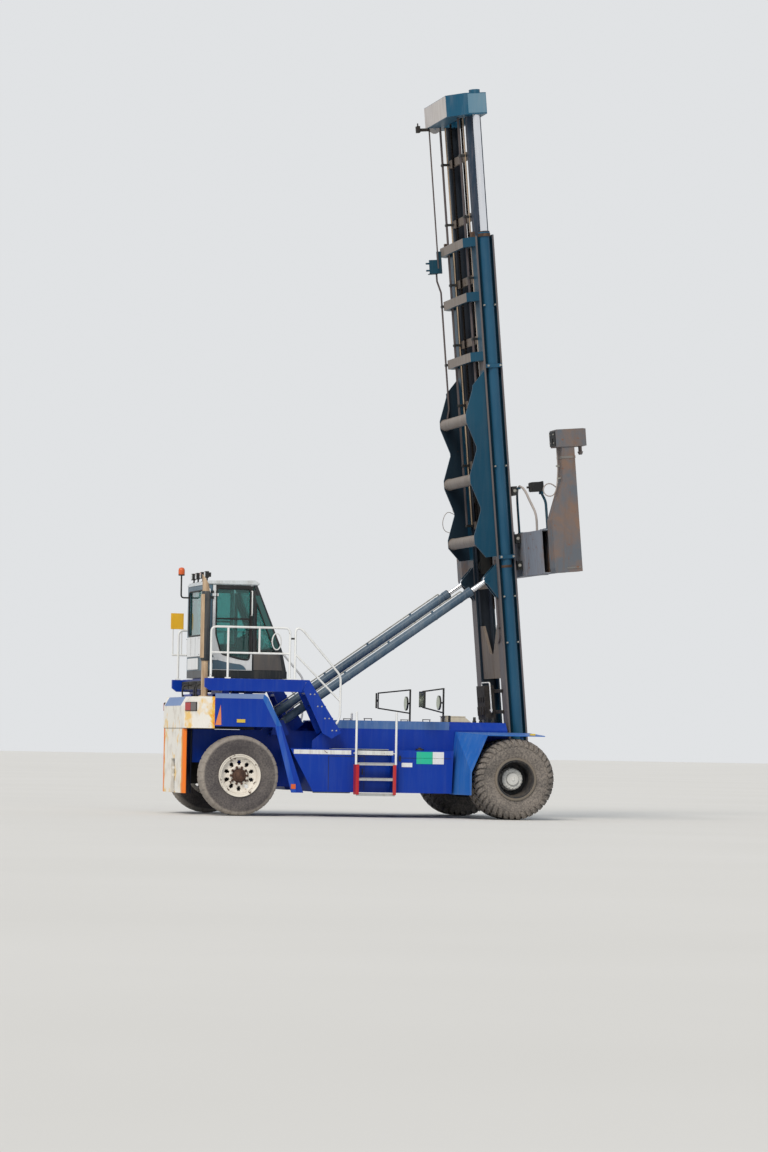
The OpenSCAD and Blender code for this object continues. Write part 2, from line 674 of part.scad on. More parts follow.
// Panes of the rear wall, the windscreen, the cowl and the quarters
module cab_glass() color("#1d5a52") {
    block([cab_rear_x + 20, -cab_y + 130 + seat, 2950 + seat],
          [cab_rear_x + 20 + pane_t, cab_y - 130 - seat, 3690 - seat]);
    inner = cab_y - 70 - seat;
    z0 = cab_knee[1] + 40.5;
    z1 = cab_brow[1] - 90.5;
    x0 = cab_knee[0] - 20 - screen_fall * 40;
    x1 = cab_knee[0] - 20 - screen_fall * (z1 - cab_knee[1]);
    side_plate([[x0, z0], [x1, z1], [x1 - pane_t, z1], [x0 - pane_t, z0]], -inner, inner);
    side_plate([[cab_toe[0] - 25, cab_toe[1] + 60.5], [cab_knee[0] - 20, cab_knee[1] - 40.5],
                [cab_knee[0] - 20 - pane_t, cab_knee[1] - 40.5],
                [cab_toe[0] - 25 - pane_t, cab_toe[1] + 60.5]], -inner, inner);
    both_sides() side_plate(quarter_window(0.5), cab_y - cab_t / 2, cab_y - cab_t / 2 + pane_t);
}

// Door outline between the rear post and the quarter
door_back_x = cab_rear_x + cab_t + 48;
hinge_r = 12;
hinge_h = 44;
hinge_y = cab_y + hinge_r + 2;
hinge_z = [cab_floor_top + 190, cab_roof_low - 170];
module door_frame() {
    difference() {
        block([door_back_x, cab_y - 50, cab_floor_top + 6], [door_front_x, cab_y, cab_roof_low - 6]);
        side_plate([[door_back_x + 60, 2960], [door_back_x + 150, 2640], [door_front_x - 190, 2560],
                    [door_front_x - 45, 2480], [door_front_x - 45, cab_roof_low - 60],
                    [door_back_x + 60, cab_roof_low - 60]], cab_y - 60, cab_y + 10);
    }
    // Middle knuckle of each hinge with its leaf
    for (z = hinge_z) {
        translate([door_back_x, hinge_y, z - hinge_h / 2]) cylinder(h = hinge_h, r = hinge_r);
        block([door_back_x + 2, cab_y - 1, z - hinge_h / 2], [door_back_x + 90, hinge_y - 3, z + hinge_h / 2]);
    }
}
module door_pane() side_plate([[door_back_x + 60.5, 2960], [door_back_x + 150.5, 2641],
                               [door_front_x - 190, 2561], [door_front_x - 45.5, 2481],
                               [door_front_x - 45.5, cab_roof_low - 60.5],
                               [door_back_x + 60.5, cab_roof_low - 60.5]],
                              cab_y - 30, cab_y - 30 + pane_t);
module door_left() color("white") door_frame();
module door_right() color("white") mirror([0, 1, 0]) door_frame();
module door_glass_left() color("#1d5a52") door_pane();
module door_glass_right() color("#1d5a52") mirror([0, 1, 0]) door_pane();

// Driver's seat: pedestal, cushion, back and head rest
module driver_seat() color("#26282b") {
    x = -10;
    z = cab_floor_top;
    block([x - 170, -160, z], [x + 170, 160, z + 330]);
    block([x - 260, -260, z + 330], [x + 260, 260, z + 450]);
    side_plate([[x - 260, z + 450], [x - 140, z + 450], [x - 230, z + 1080], [x - 330, z + 1080]],
               -240, 240);
    side_plate([[x - 328, z + 1080], [x - 245, z + 1080], [x - 262, z + 1250], [x - 330, z + 1250]],
               -130, 130);
}

// Steering column with its wheel
module steering_console() color(dark) {
    x = 520;
    block([x - 60, -110, cab_floor_top], [x + 60, 110, cab_floor_top + 510]);
    translate([x, 0, cab_floor_top + 490]) rotate([0, -35, 0]) {
        cylinder(h = 180, r = 40);
        translate([0, 0, 180]) rotate_extrude($fn = 40) translate([180, 0]) circle(r = 16, $fn = 16);
        for (a = [0, 120, 240]) rotate([0, 0, a]) block([0, -14, 170], [175, 14, 190]);
    }
}

// Mirrors on posts at the front corners of the deck
module mirrors() color(dark) both_sides() {
    x = -1010;
    y = deck_y - 60;
    // The post stands on the deck's slanted edge
    bar([x, y, deck_top - (y - 16 - deck_y + deck_edge) + seat], [x, y, 2150], 16);
    // Two arms reach back and out to the flat mirror
    out_x = x - 460;
    out_y = y + 420;
    bar([x, y, 2140], [out_x, out_y, 2080], 12);
    bar([x, y, 1740], [out_x, out_y, 1820], 12);
    bar([out_x, out_y, 1810], [out_x, out_y, 2090], 12);
    translate([out_x - 18, out_y, 1820]) rotate([0, 0, -13]) translate([-27, -50, 0]) cube([27, 190, 260]);
    bar([out_x, out_y, 1950], [out_x - 25, out_y, 1950], 20);
    translate([x - 60, y - 20, 1905]) rotate([0, -90, 0]) cylinder(h = 25, r = 120);
    bar([x, y, 1905], [x - 65, y - 20, 1905], 14);
}

// Work lamps on feet on the cab roof
module work_lamps() color("#101214") {
    for (y = [-560, -200, 200, 560]) {
        z = roof_top(cab_rear_x + 64) + seat;
        block([cab_rear_x + 40, y - 12, z], [cab_rear_x + 64, y + 12, z + 51]);
        block([cab_rear_x + 10, y - 60, z + 50], [cab_rear_x + 95, y + 60, z + 160]);
    }
    both_sides() {
        z = roof_top(cab_brow[0] - 40) + seat;
        block([cab_brow[0] - 60, cab_y - 60, z], [cab_brow[0] - 36, cab_y - 36, z + 41]);
        block([cab_brow[0] - 90, cab_y - 110, z + 40], [cab_brow[0] - 5, cab_y + 10, z + 140]);
    }
}

// Flashing beacon on a stalk behind the cab's left rear corner
module beacon() color("#e06a1a") {
    x = cab_rear_x - 90;
    y = cab_y - 110;
    bar([cab_rear_x, y, 3600], [x, y, 3600], 14);
    bar([x, y, 3590], [x, y, 3990], 14);
    translate([x, y, 3980]) cylinder(h = 130, r = 55);
}

// Twin drive tyres of the left side
module drive_tyres() color("#4a453f") translate([0, 0, drive_r]) {
    tyre(drive_r, drive_over / 2 - tyre_w, drive_lugs, 24, lug_h);
    tyre(drive_r, drive_over / 2 - 2 * tyre_w - twin_gap, drive_lugs, 24, lug_h);
}

// A ring about Y, from y0 to y1
module ring(r0, r1, y0, y1) difference() {
    cross_rod(0, 0, r1, y0, y1);
    cross_rod(0, 0, r0, y0 - 1, y1 + 1);
}

// Twin rims: barrels with flanges, one disc between the tyres and the planetary hub
module drive_rims() color("#3b3d40") translate([0, 0, drive_r]) {
    outer = drive_over / 2;
    ring(rim_r - 16, rim_r, outer - 2 * tyre_w - twin_gap + 7, outer - 7);
    for (mid = [outer - tyre_w / 2, outer - 1.5 * tyre_w - twin_gap], side = [-1, 1])
        ring(rim_r - 2, rim_r + 40, mid + side * 0.465 * tyre_w - 6, mid + side * 0.465 * tyre_w + 6);
    ring(spindle_r + seat, spindle_r + 50, drum_y + 246, wheel_disc_y - 14);
    cross_rod(0, 0, rim_r - 15, wheel_disc_y - 14, wheel_disc_y + 16);
    color("white") {
        cross_rod(0, 0, drive_hub_d / 2, wheel_disc_y + 15, wheel_disc_y + 180);
        cross_rod(0, 0, drive_hub_d / 2 - 45, wheel_disc_y + 179, wheel_disc_y + 215);
    }
    // Studs round the disc
    for (a = [0 : 36 : 324])
        rotate([0, a, 0]) cross_rod(0, drive_hub_d / 2 + 45, 14, wheel_disc_y + 15, wheel_disc_y + 45);
}

// Steer knuckle: kingpin barrel, flange and spindle
module steer_knuckle() color("#3a3a3c") {
    translate([0, kingpin_y, steer_r - 125]) cylinder(h = 250, r = 80);
    translate([0, kingpin_y, steer_r - 190]) cylinder(h = 380, r = kingpin_d / 2);
    cross_rod(0, steer_r, 60, kingpin_y + 20, steer_disc_y - 15);
    cross_rod(0, steer_r, 100, kingpin_y + 74, kingpin_y + 98);
}

module steer_tyre() color("#4a453f") translate([0, 0, steer_r])
    tyre(steer_r, steer_over / 2 - tyre_w, steer_lugs, 6, 12);

// Steer rim: barrel, disc with hand holes and a proud hub
module steer_rim() color("#e4e0d6") translate([0, 0, steer_r]) {
    outer = steer_over / 2;
    ring(rim_r - 16, rim_r, outer - tyre_w + 7, outer - 7);
    for (side = [-1, 1], mid = outer - tyre_w / 2)
        ring(rim_r - 2, rim_r + 40, mid + side * 0.465 * tyre_w - 6, mid + side * 0.465 * tyre_w + 6);
    difference() {
        cross_rod(0, 0, rim_r - 15, steer_disc_y - 10, steer_disc_y + 12);
        for (a = [0 : 36 : 324])
            rotate([0, a, 0]) translate([0, steer_disc_y - 20, 0.72 * rim_r]) rotate([-90, 0, 0])
                cylinder(h = 50, r = 38);
    }
    color("#7a5238") {
        ring(60 + seat, steer_hub_d / 2, kingpin_y + 110, steer_disc_y - 9);
        cross_rod(0, 0, steer_hub_d / 2, steer_disc_y - 10, steer_disc_y + 70);
    }
}

// Outer rail of the left side: an H section with the pivot's foot and the tilt cylinder's lugs
module outer_rail() color(mast_blue) {
    translate([0, 0, -outer_foot]) linear_extrude(outer_top + outer_foot) {
        translate([-outer_u, outer_web_y]) square([outer_depth, outer_t]);
        for (x = [-outer_u, outer_u - outer_t])
            translate([x, outer_inside]) square([outer_t, outer_outside - outer_inside]);
    }
    difference() {
        block([-95, outer_web_y + outer_t - 1, -120], [95, pivot_y0 - 10, foot_top]);
        cross_rod(0, 0, pivot_d / 2 + seat, outer_web_y + outer_t + 2, pivot_y0 + 1);
    }
    // Pads at the top hold the inner rail
    for (side = [-1, 1])
        block([side > 0 ? inner_u + seat : -outer_u + outer_t - 1, outer_inside + 20, outer_top - 300],
              [side > 0 ? outer_u - outer_t + 1 : -inner_u - seat, outer_web_y - 25, outer_top - 5]);
    for (y = [tilt_y - tilt_eye_w / 2 - 30, tilt_y + tilt_eye_w / 2 + 5])
        side_plate([[-outer_u + 1, tilt_eye_up - 330], [-outer_u + 1, tilt_eye_up + 260],
                    [-tilt_eye_back - 30, tilt_eye_up + 75], [-tilt_eye_back - 75, tilt_eye_up + 20],
                    [-tilt_eye_back - 70, tilt_eye_up - 40], [-tilt_eye_back - 20, tilt_eye_up - 75]],
                   y, y + 25);
    cross_rod(-tilt_eye_back, tilt_eye_up, tilt_pin_d / 2, tilt_y - tilt_eye_w / 2 - 40,
              tilt_y + tilt_eye_w / 2 + 40);
}

// Cross members of the outer mast: wavy side plates with round-backed tubes, C-shaped wraps, sill
module outer_cross_members() color(mast_blue) {
    first = 4092;
    pitch = 1020;
    back = -520;
    valley = -375;
    plate_y = outer_outside - 50;
    wave = concat([[-outer_u - seat, first - 290], [-outer_u - 180, first - 300]],
                  [for (i = [0 : 2]) each [[back, first + i * pitch - 70], [back, first + i * pitch + 70],
                                           [valley, first + (i + 0.5) * pitch - 25],
                                           [valley, first + (i + 0.5) * pitch + 25]]],
                  [[-outer_u - seat, first + 2.5 * pitch + 260]]);
    both_sides() side_plate(wave, plate_y, plate_y + 25);
    for (i = [0 : 2]) {
        cross_rod(back + 95, first + i * pitch, 92, -plate_y, plate_y);
        block([back + 95, -plate_y, first + i * pitch - 92], [back + 150, plate_y, first + i * pitch + 92]);
    }
    for (w = [7080, 8085, outer_top - 180])
        translate([0, 0, w]) linear_extrude(150) difference() {
            polygon([[-outer_u - seat, outer_outside], [-outer_u - 60, outer_outside],
                     [-340, outer_outside - 150], [-340, -outer_outside + 150],
                     [-outer_u - 60, -outer_outside], [-outer_u - seat, -outer_outside]]);
            polygon([[-outer_u, outer_inside + 60], [-outer_u - 60, outer_inside + 60],
                     [-290, outer_inside - 20], [-290, -outer_inside + 20],
                     [-outer_u - 60, -outer_inside - 60], [-outer_u, -outer_inside - 60]]);
        }
    // The sill stops short of the carriage's rollers at their lowest
    block([-outer_u, -outer_outside, -outer_foot - 110],
          [-inner_u + 20, outer_outside, -outer_foot - seat]);
}

// Lift cylinders' tubes on the outer rails, hollow for their rods
module lift_tubes() color(mast_blue) both_sides() difference() {
    union() {
        translate([0, lift_y, foot_top + seat]) cylinder(h = tube_top - foot_top - seat, r = lift_tube_d / 2);
        translate([0, lift_y, outer_top + 5]) cylinder(h = 40, r = lift_tube_d / 2 + 14);
        for (w = [3750, 6950])
            block([-outer_u + outer_t + 2, outer_web_y + outer_t + seat, w],
                  [outer_u - outer_t - 2, lift_y + lift_tube_d / 2 + 15, w + 60]);
    }
    translate([0, lift_y, foot_top + 120])
        cylinder(h = tube_top - foot_top - 120 - 70, r = lift_rod_d / 2 + 7);
    translate([0, lift_y, tube_top - 75]) cylinder(h = 100, r = lift_rod_d / 2 + seat);
}

// Inner rail of the left side: a C section open to the middle, with wear pads at its foot
module inner_rail() color(mast_blue) {
    translate([0, 0, inner_foot]) linear_extrude(head_low - seat - inner_foot) {
        translate([-inner_u, inner_web_y]) square([2 * inner_u, 30]);
        for (x = [-inner_u, inner_u - inner_t])
            translate([x, inner_inside]) square([inner_t, inner_web_y + 30 - inner_inside]);
    }
    for (side = [-1, 1])
        block([side > 0 ? inner_u - 1 : -inner_u - mast_gap + seat, outer_inside + 20, inner_foot + 5],
              [side > 0 ? inner_u + mast_gap - seat : -inner_u + 1, outer_web_y - 25, inner_foot + 300]);
}

// Cross members of the inner mast, with a V-cut yoke at the foot
module inner_cross_members() color(mast_blue) {
    y = inner_inside - seat;
    for (w = [inner_foot + 1590 : rung_pitch : head_low - 300])
        block([-inner_u, -y, w - 65], [-inner_u + 45, y, w + 65]);
    translate([-inner_u, 0, 0]) rotate([90, 0, 90]) linear_extrude(45)
        polygon([[-y, inner_foot], [y, inner_foot], [y, inner_foot + 900], [y - 160, inner_foot + 900],
                 [110, inner_foot + 420], [-110, inner_foot + 420],
                 [-y + 160, inner_foot + 900], [-y, inner_foot + 900]]);
}

// Head of the inner mast: a C-shaped box over both stages, with caps over the lift rods
module mast_head() color(mast_blue) {
    difference() {
        translate([0, 0, head_low]) linear_extrude(head_h)
            polygon([[170, 985], [-190, 985], [-460, 720], [-460, -720], [-190, -985], [170, -985]]);
        block([-180, -560, head_low - 1], [120, 560, head_low + head_h + 1]);
        block([-400, -640, head_low + 40], [-170, 640, head_low + head_h + 1]);
        both_sides() translate([0, lift_y, head_low - 1]) cylinder(h = 120, r = lift_rod_d / 2 + seat);
    }
    both_sides() translate([0, lift_y, head_low + head_h - 1]) cylinder(h = 60, r = 92);
}

module lift_rods() color("#d8dde0") both_sides()
    translate([0, lift_y, 3600]) cylinder(h = head_low + 115 - 3600, r = lift_rod_d / 2);

// Lift chains: two sheaves in the head with a front and a rear strand each
module lift_chains() color("#3f3a36") {
    w = head_low + 170;
    u = chain_u - sheave_r - chain_t / 2;
    cross_rod(u, w, 30, -560, 560);
    for (y = [-260, 260]) {
        cross_rod(u, w, sheave_r, y - 35, y + 35);
        for (side = [-1, 1]) cross_rod(u, w, sheave_r + chain_t + 6, y + side * 41 - 5, y + side * 41 + 5);
        block([chain_u - chain_t / 2, y - 30, carriage_low + 1350 - raised], [chain_u + chain_t / 2, y + 30, w]);
        block([u - sheave_r - chain_t, y - 30, outer_top - lift_more - 60],
              [u - sheave_r, y + 30, w]);
        difference() {
            cross_rod(u, w, sheave_r + chain_t, y - 30, y + 30);
            cross_rod(u, w, sheave_r - 2, y - 31, y + 31);
            block([u - 200, y - 32, w - 200], [u + 200, y + 32, w]);
        }
    }
}

// Lift carriage: side plates with rollers in the inner rails and three bars in front
module carriage() color("#3a322b") {
    top = carriage_low + carriage_h;
    plate_y = inner_inside - 45;
    both_sides() {
        side_plate([[-50, carriage_low], [bar_back, carriage_low], [bar_back, top], [60, top],
                    [-50, top - 100]], plate_y, plate_y + 35);
        for (w = [carriage_low + 130, top - 130]) {
            cross_rod(0, w, 35, plate_y + 34, inner_inside + 5);
            cross_rod(0, w, inner_u - inner_t - seat, inner_inside + 4, inner_web_y - 10);
        }
    }
    for (rows = [[carriage_low, 150], [beam_low + beam_h - 160, 150], [top - 150, 150]])
        block([bar_back - 1, -880, rows[0]], [beam_back - 15, 880, rows[0] + rows[1]]);
    // Stays between the bars behind the beam's claws
    both_sides() block([bar_back - 25, 280, carriage_low], [bar_back, 320, top]);
}

// Spreader beam: a double box that both arms slide in, with claws and pads on the carriage's bars
module spreader_beam() color("#55585a") {
    w1 = beam_low + beam_h;
    mid_u = beam_back + beam_depth / 2;
    claw_w = beam_low + beam_h - 10 + seat;
    difference() {
        block([beam_back, -beam_y, beam_low], [beam_back + beam_depth, beam_y, w1]);
        for (u = [beam_back + beam_t, mid_u + beam_t / 2])
            block([u, -beam_y - 1, beam_low + beam_t],
                  [u + beam_depth / 2 - 1.5 * beam_t, beam_y + 1, w1 - beam_t]);
    }
    both_sides() {
        block([bar_back + run, 150, claw_w], [beam_back + 60, 280, w1 + 50]);
        for (w = [carriage_low + 20, w1 - 130])
            block([beam_back - 15 + seat, 150, w], [beam_back, 280, w + 100]);
    }
}

// Arm of the left side: a sliding box beam, the tall leg, its head and the twistlock
module spreader_arm(channel) color("#5c4f47") {
    beam_u = beam_back + beam_t + run + channel * (beam_depth / 2 - beam_t / 2);
    beam_w = beam_depth / 2 - 1.5 * beam_t - 2 * run;
    low = beam_low + beam_t + seat;
    high = beam_low + beam_h - beam_t - run;
    y0 = lock_y - leg_w / 2;
    front = beam_back + beam_depth;
    difference() {
        block([beam_u, -beam_y + 240, low], [beam_u + beam_w, y0 + 1, high]);
        block([beam_u + 12, -beam_y + 239, low + 12], [beam_u + beam_w - 12, y0 - 20, high - 12]);
    }
    side_plate([[front - 445, beam_low - 20], [front, beam_low - 20], [front, head_box_w + 1],
                [front - 210, head_box_w + 1], [front - 230, head_box_w - 560],
                [front - 455, beam_low + 840], [front - 460, beam_low + 60]], y0, y0 + leg_w);
    block([leg_front_u - 510, y0 - 15, head_box_w], [leg_front_u, y0 + leg_w + 15, head_box_w + head_box_h]);
    translate([leg_front_u - 65, lock_y, head_box_w - 130]) cylinder(h = 131, r = lock_d / 2);
    translate([leg_front_u - 65, lock_y, head_box_w - 135]) cylinder(h = 50, r1 = 28, r2 = 48, $fn = 32);
}

module on_tilt() translate([tilt_rear_x, 0, tilt_rear_z]) rotate([0, -tilt_rise, 0]) children();

// Tilt cylinder of the left side: a hollow barrel with its rear eye and the gland
module tilt_barrel() color("#3f6f92") on_tilt() difference() {
    union() {
        cross_rod(0, 0, 62, tilt_y - tilt_eye_w / 2, tilt_y + tilt_eye_w / 2);
        block([20, tilt_y - tilt_eye_w / 2 + 5, -50], [141, tilt_y + tilt_eye_w / 2 - 5, 50]);
        translate([140, tilt_y, 0]) rotate([0, 90, 0]) cylinder(h = tilt_len - 480, r = tilt_barrel_d / 2);
        translate([tilt_len - 440, tilt_y, 0]) rotate([0, 90, 0])
            cylinder(h = 100, r = tilt_barrel_d / 2 + 9);
    }
    cross_rod(0, 0, tilt_pin_d / 2 + seat, tilt_y - tilt_eye_w, tilt_y + tilt_eye_w);
    translate([tilt_len - 1750, tilt_y, 0]) rotate([0, 90, 0]) cylinder(h = 1330, r = tilt_rod_d / 2 + 8);
    translate([tilt_len - 430, tilt_y, 0]) rotate([0, 90, 0]) cylinder(h = 120, r = tilt_rod_d / 2 + seat);
}

// Its chrome rod with the front eye
module tilt_rod() color("#d8dde0") on_tilt() {
    difference() {
        cross_rod(tilt_len, 0, 68, tilt_y - tilt_eye_w / 2 + 5, tilt_y + tilt_eye_w / 2 - 5);
        cross_rod(tilt_len, 0, tilt_pin_d / 2 + eye_clear, tilt_y - tilt_eye_w, tilt_y + tilt_eye_w);
    }
    translate([tilt_len - 1580, tilt_y, 0]) rotate([0, 90, 0]) cylinder(h = 1530, r = tilt_rod_d / 2);
}

module drive_tyres_left() drive_tyres();
module drive_tyres_right() mirror([0, 1, 0]) drive_tyres();
module drive_rims_left() drive_rims();
module drive_rims_right() mirror([0, 1, 0]) drive_rims();
module steer_knuckle_left() steer_knuckle();
module steer_knuckle_right() mirror([0, 1, 0]) steer_knuckle();
module steer_tyre_left() steer_tyre();
module steer_tyre_right() mirror([0, 1, 0]) steer_tyre();
module steer_rim_left() steer_rim();
module steer_rim_right() mirror([0, 1, 0]) steer_rim();
module outer_rail_left() outer_rail();
module outer_rail_right() mirror([0, 1, 0]) outer_rail();
module inner_rail_left() inner_rail();
module inner_rail_right() mirror([0, 1, 0]) inner_rail();
module spreader_arm_left() spreader_arm(0);
module spreader_arm_right() mirror([0, 1, 0]) spreader_arm(1);
module tilt_barrel_left() tilt_barrel();
module tilt_barrel_right() mirror([0, 1, 0]) tilt_barrel();
module tilt_rod_left() tilt_rod();
module tilt_rod_right() mirror([0, 1, 0]) tilt_rod();

on_axle() frame();
on_steer() counterweight();
on_steer() rear_fenders();
on_axle() side_tanks();
on_axle() raised_deck();
on_axle() front_fenders();
on_axle() drive_axle();
on_steer() steer_axle();
on_axle() engine();
on_steer() cab_platform();
on_steer() stairs();
on_axle() boarding_ladders();
on_steer() handrails();
on_steer() exhaust();
on_steer() cab_floor();
on_steer() cab_rear();
on_steer() cab_front();
on_steer() cab_quarters();
on_steer() cab_roof();
on_steer() cab_glass();
on_steer() door_left();
on_steer() door_right();
on_steer() door_glass_left();
on_steer() door_glass_right();
on_steer() driver_seat();
on_steer() steering_console();
on_axle() mirrors();
on_steer() work_lamps();
on_steer() beacon();
on_axle() drive_tyres_left();
on_axle() drive_tyres_right();
on_axle() drive_rims_left();
on_axle() drive_rims_right();
on_steer() steer_knuckle_left();
on_steer() steer_knuckle_right();
on_steer() steer_tyre_left();
on_steer() steer_tyre_right();
on_steer() steer_rim_left();
on_steer() steer_rim_right();
on_mast() outer_rail_left();
on_mast() outer_rail_right();
on_mast() outer_cross_members();
on_mast() lift_tubes();
on_mast() inner_rail_left();
on_mast() inner_rail_right();
on_mast() inner_cross_members();
on_mast() mast_head();
on_mast() lift_rods();
on_mast() lift_chains();
on_mast() carriage();
on_mast() spreader_beam();
on_mast() spreader_arm_left();
on_mast() spreader_arm_right();
on_axle() tilt_barrel_left();
on_axle() tilt_barrel_right();
on_axle() tilt_rod_left();
on_axle() tilt_rod_right();
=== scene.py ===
"""An empty container handler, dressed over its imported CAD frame.

Lengths are metres. X points forward to the mast, Y to the driver's left, Z up.
"""

import json
import math

import bmesh
import bpy
from mathutils import Matrix, Vector


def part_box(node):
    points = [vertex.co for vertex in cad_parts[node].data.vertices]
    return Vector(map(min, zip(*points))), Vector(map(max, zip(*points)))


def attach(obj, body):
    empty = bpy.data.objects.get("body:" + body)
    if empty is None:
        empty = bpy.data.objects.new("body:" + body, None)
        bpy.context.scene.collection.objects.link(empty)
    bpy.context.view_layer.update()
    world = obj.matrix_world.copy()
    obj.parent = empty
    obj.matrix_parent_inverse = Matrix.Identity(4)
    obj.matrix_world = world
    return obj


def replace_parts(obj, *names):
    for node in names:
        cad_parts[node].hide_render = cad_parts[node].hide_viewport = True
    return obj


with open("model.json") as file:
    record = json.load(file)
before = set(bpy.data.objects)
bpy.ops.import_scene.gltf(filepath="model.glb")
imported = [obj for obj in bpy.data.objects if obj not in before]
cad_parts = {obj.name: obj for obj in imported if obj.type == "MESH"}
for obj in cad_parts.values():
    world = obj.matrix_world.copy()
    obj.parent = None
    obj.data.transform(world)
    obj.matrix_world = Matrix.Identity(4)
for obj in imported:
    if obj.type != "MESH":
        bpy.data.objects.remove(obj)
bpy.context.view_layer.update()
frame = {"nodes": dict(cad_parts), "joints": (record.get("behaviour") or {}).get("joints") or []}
cad = frame["nodes"]
joints = {joint["name"]: joint for joint in frame["joints"]}
scene = bpy.context.scene

# Floor, light and camera
# A pale floor under soft light from above and from the camera's side. The camera stands 65 m off to
# the right and a little behind, 1.2 m above the floor, and looks up slightly through a long lens.

drive_x = joints["drive_spin_left"]["pos_m"][0]


def linear(code):
    """An sRGB hex colour as linear red, green, blue and alpha."""
    parts = [int(code[i : i + 2], 16) / 255 for i in (1, 3, 5)]
    return [c / 12.92 if c <= 0.04045 else ((c + 0.055) / 1.055) ** 2.4 for c in parts] + [1.0]


def node(tree, kind, inputs=None, **settings):
    """Adds a node; a short kind is a shader node's. A node or socket given as an input is linked, the
    node by its first output in use, and any other value is set."""
    made = tree.nodes.new(kind if "Node" in kind else f"ShaderNode{kind}")
    for name, value in settings.items():
        setattr(made, name, value)
    for key, value in (inputs or {}).items():
        if isinstance(value, bpy.types.Node):
            value = next(socket for socket in value.outputs if socket.enabled)
        if isinstance(value, bpy.types.NodeSocket):
            tree.links.new(value, made.inputs[key])
        else:
            made.inputs[key].default_value = value
    return made


def new_material(name):
    """A material with an empty tree, and the tree's object coordinates."""
    made = bpy.data.materials.new(name)
    made.use_nodes = True
    made.node_tree.nodes.clear()
    return made, made.node_tree, node(made.node_tree, "TexCoord").outputs["Object"]


def finished(made, looks, height=None, strength=0.3, depth=0.002):
    """Ends a material with one shader, bumped by a height pattern where one is given."""
    tree = made.node_tree
    if height is not None:
        bump = node(tree, "Bump", {"Height": height, "Strength": strength, "Distance": depth})
        looks["Normal"] = bump
    node(tree, "OutputMaterial", {"Surface": node(tree, "BsdfPrincipled", looks)})
    return made


def poured_concrete():
    """Pale trowelled concrete: nearly even, with a faint cloudiness that the eye hardly sees."""
    made, tree, place = new_material("poured_concrete")
    cloud = node(tree, "TexNoise", {"Vector": place, "Scale": 0.15, "Detail": 4.0})
    tint = node(tree, "Mix", {0: cloud, 6: linear("#d9d8d4"), 7: linear("#e3e2df")}, data_type="RGBA")
    return finished(made, {"Base Color": tint, "Roughness": 0.85})


reach = 300.0
floor_mesh = bpy.data.meshes.new("yard_floor")
floor_mesh.from_pydata([(-reach, -reach, 0), (reach, -reach, 0), (reach, reach, 0), (-reach, reach, 0)],
                       [], [(0, 1, 2, 3)])
floor_mesh.materials.append(poured_concrete())
floor = bpy.data.objects.new("yard_floor", floor_mesh)
scene.collection.objects.link(floor)

world = bpy.data.worlds.new("studio")
scene.world = world
world.use_nodes = True
sky = world.node_tree
sky.nodes.clear()
rays = node(sky, "LightPath").outputs
seen = node(sky, "Math", {0: rays["Is Camera Ray"], 1: rays["Is Glossy Ray"]}, operation="MAXIMUM")
seen = node(sky, "Math", {0: seen, 1: rays["Is Transmission Ray"]}, operation="MAXIMUM")
dome = node(sky, "Background", {"Color": linear("#dfe6ee"), "Strength": 0.62})
backdrop = node(sky, "Background", {"Color": linear("#e6e8ea"), "Strength": 0.95})
node(sky, "OutputWorld", {"Surface": node(sky, "MixShader", {0: seen, 1: dome, 2: backdrop})})

sun_lamp = bpy.data.lights.new("high_soft_sun", "SUN")
sun_lamp.energy = 2.1
sun_lamp.angle = math.radians(25)
sun_lamp.color = linear("#fff6ea")[:3]
sun = bpy.data.objects.new("high_soft_sun", sun_lamp)
sun.rotation_euler = Vector((0.42, 0.62, -0.72)).to_track_quat("-Z", "Y").to_euler()
scene.collection.objects.link(sun)

# The camera's bearing and place were solved from the photograph
yaw, pitch, roll = (math.radians(turn) for turn in (13.724, 2.41, 0.998))
stand_back, stand_aside, stand_up = -17.713, -65.224, 1.202
ahead = Vector((math.sin(yaw) * math.cos(pitch), math.cos(yaw) * math.cos(pitch), math.sin(pitch)))
level = Vector((math.cos(yaw), -math.sin(yaw), 0))
upward = level.cross(ahead)
right = math.cos(roll) * level + math.sin(roll) * upward
upright = -math.sin(roll) * level + math.cos(roll) * upward
lens = bpy.data.cameras.new("long_lens")
lens.lens = 125
lens.sensor_width = 36
lens.clip_end = 1000
camera = bpy.data.objects.new("long_lens", lens)
camera.matrix_world = Matrix((
    (right.x, upright.x, -ahead.x, drive_x + stand_back),
    (right.y, upright.y, -ahead.y, stand_aside),
    (right.z, upright.z, -ahead.z, stand_up),
    (0, 0, 0, 1),
))
scene.collection.objects.link(camera)
scene.camera = camera
scene.view_settings.view_transform = "Standard"

# Frame, tanks, fenders, platform and stairs
# Welded steel plate, sprayed deep blue in two-pack enamel. Years of yard work leave brown dust on
# every ledge, faded upper faces, and chips that show primer and rust.


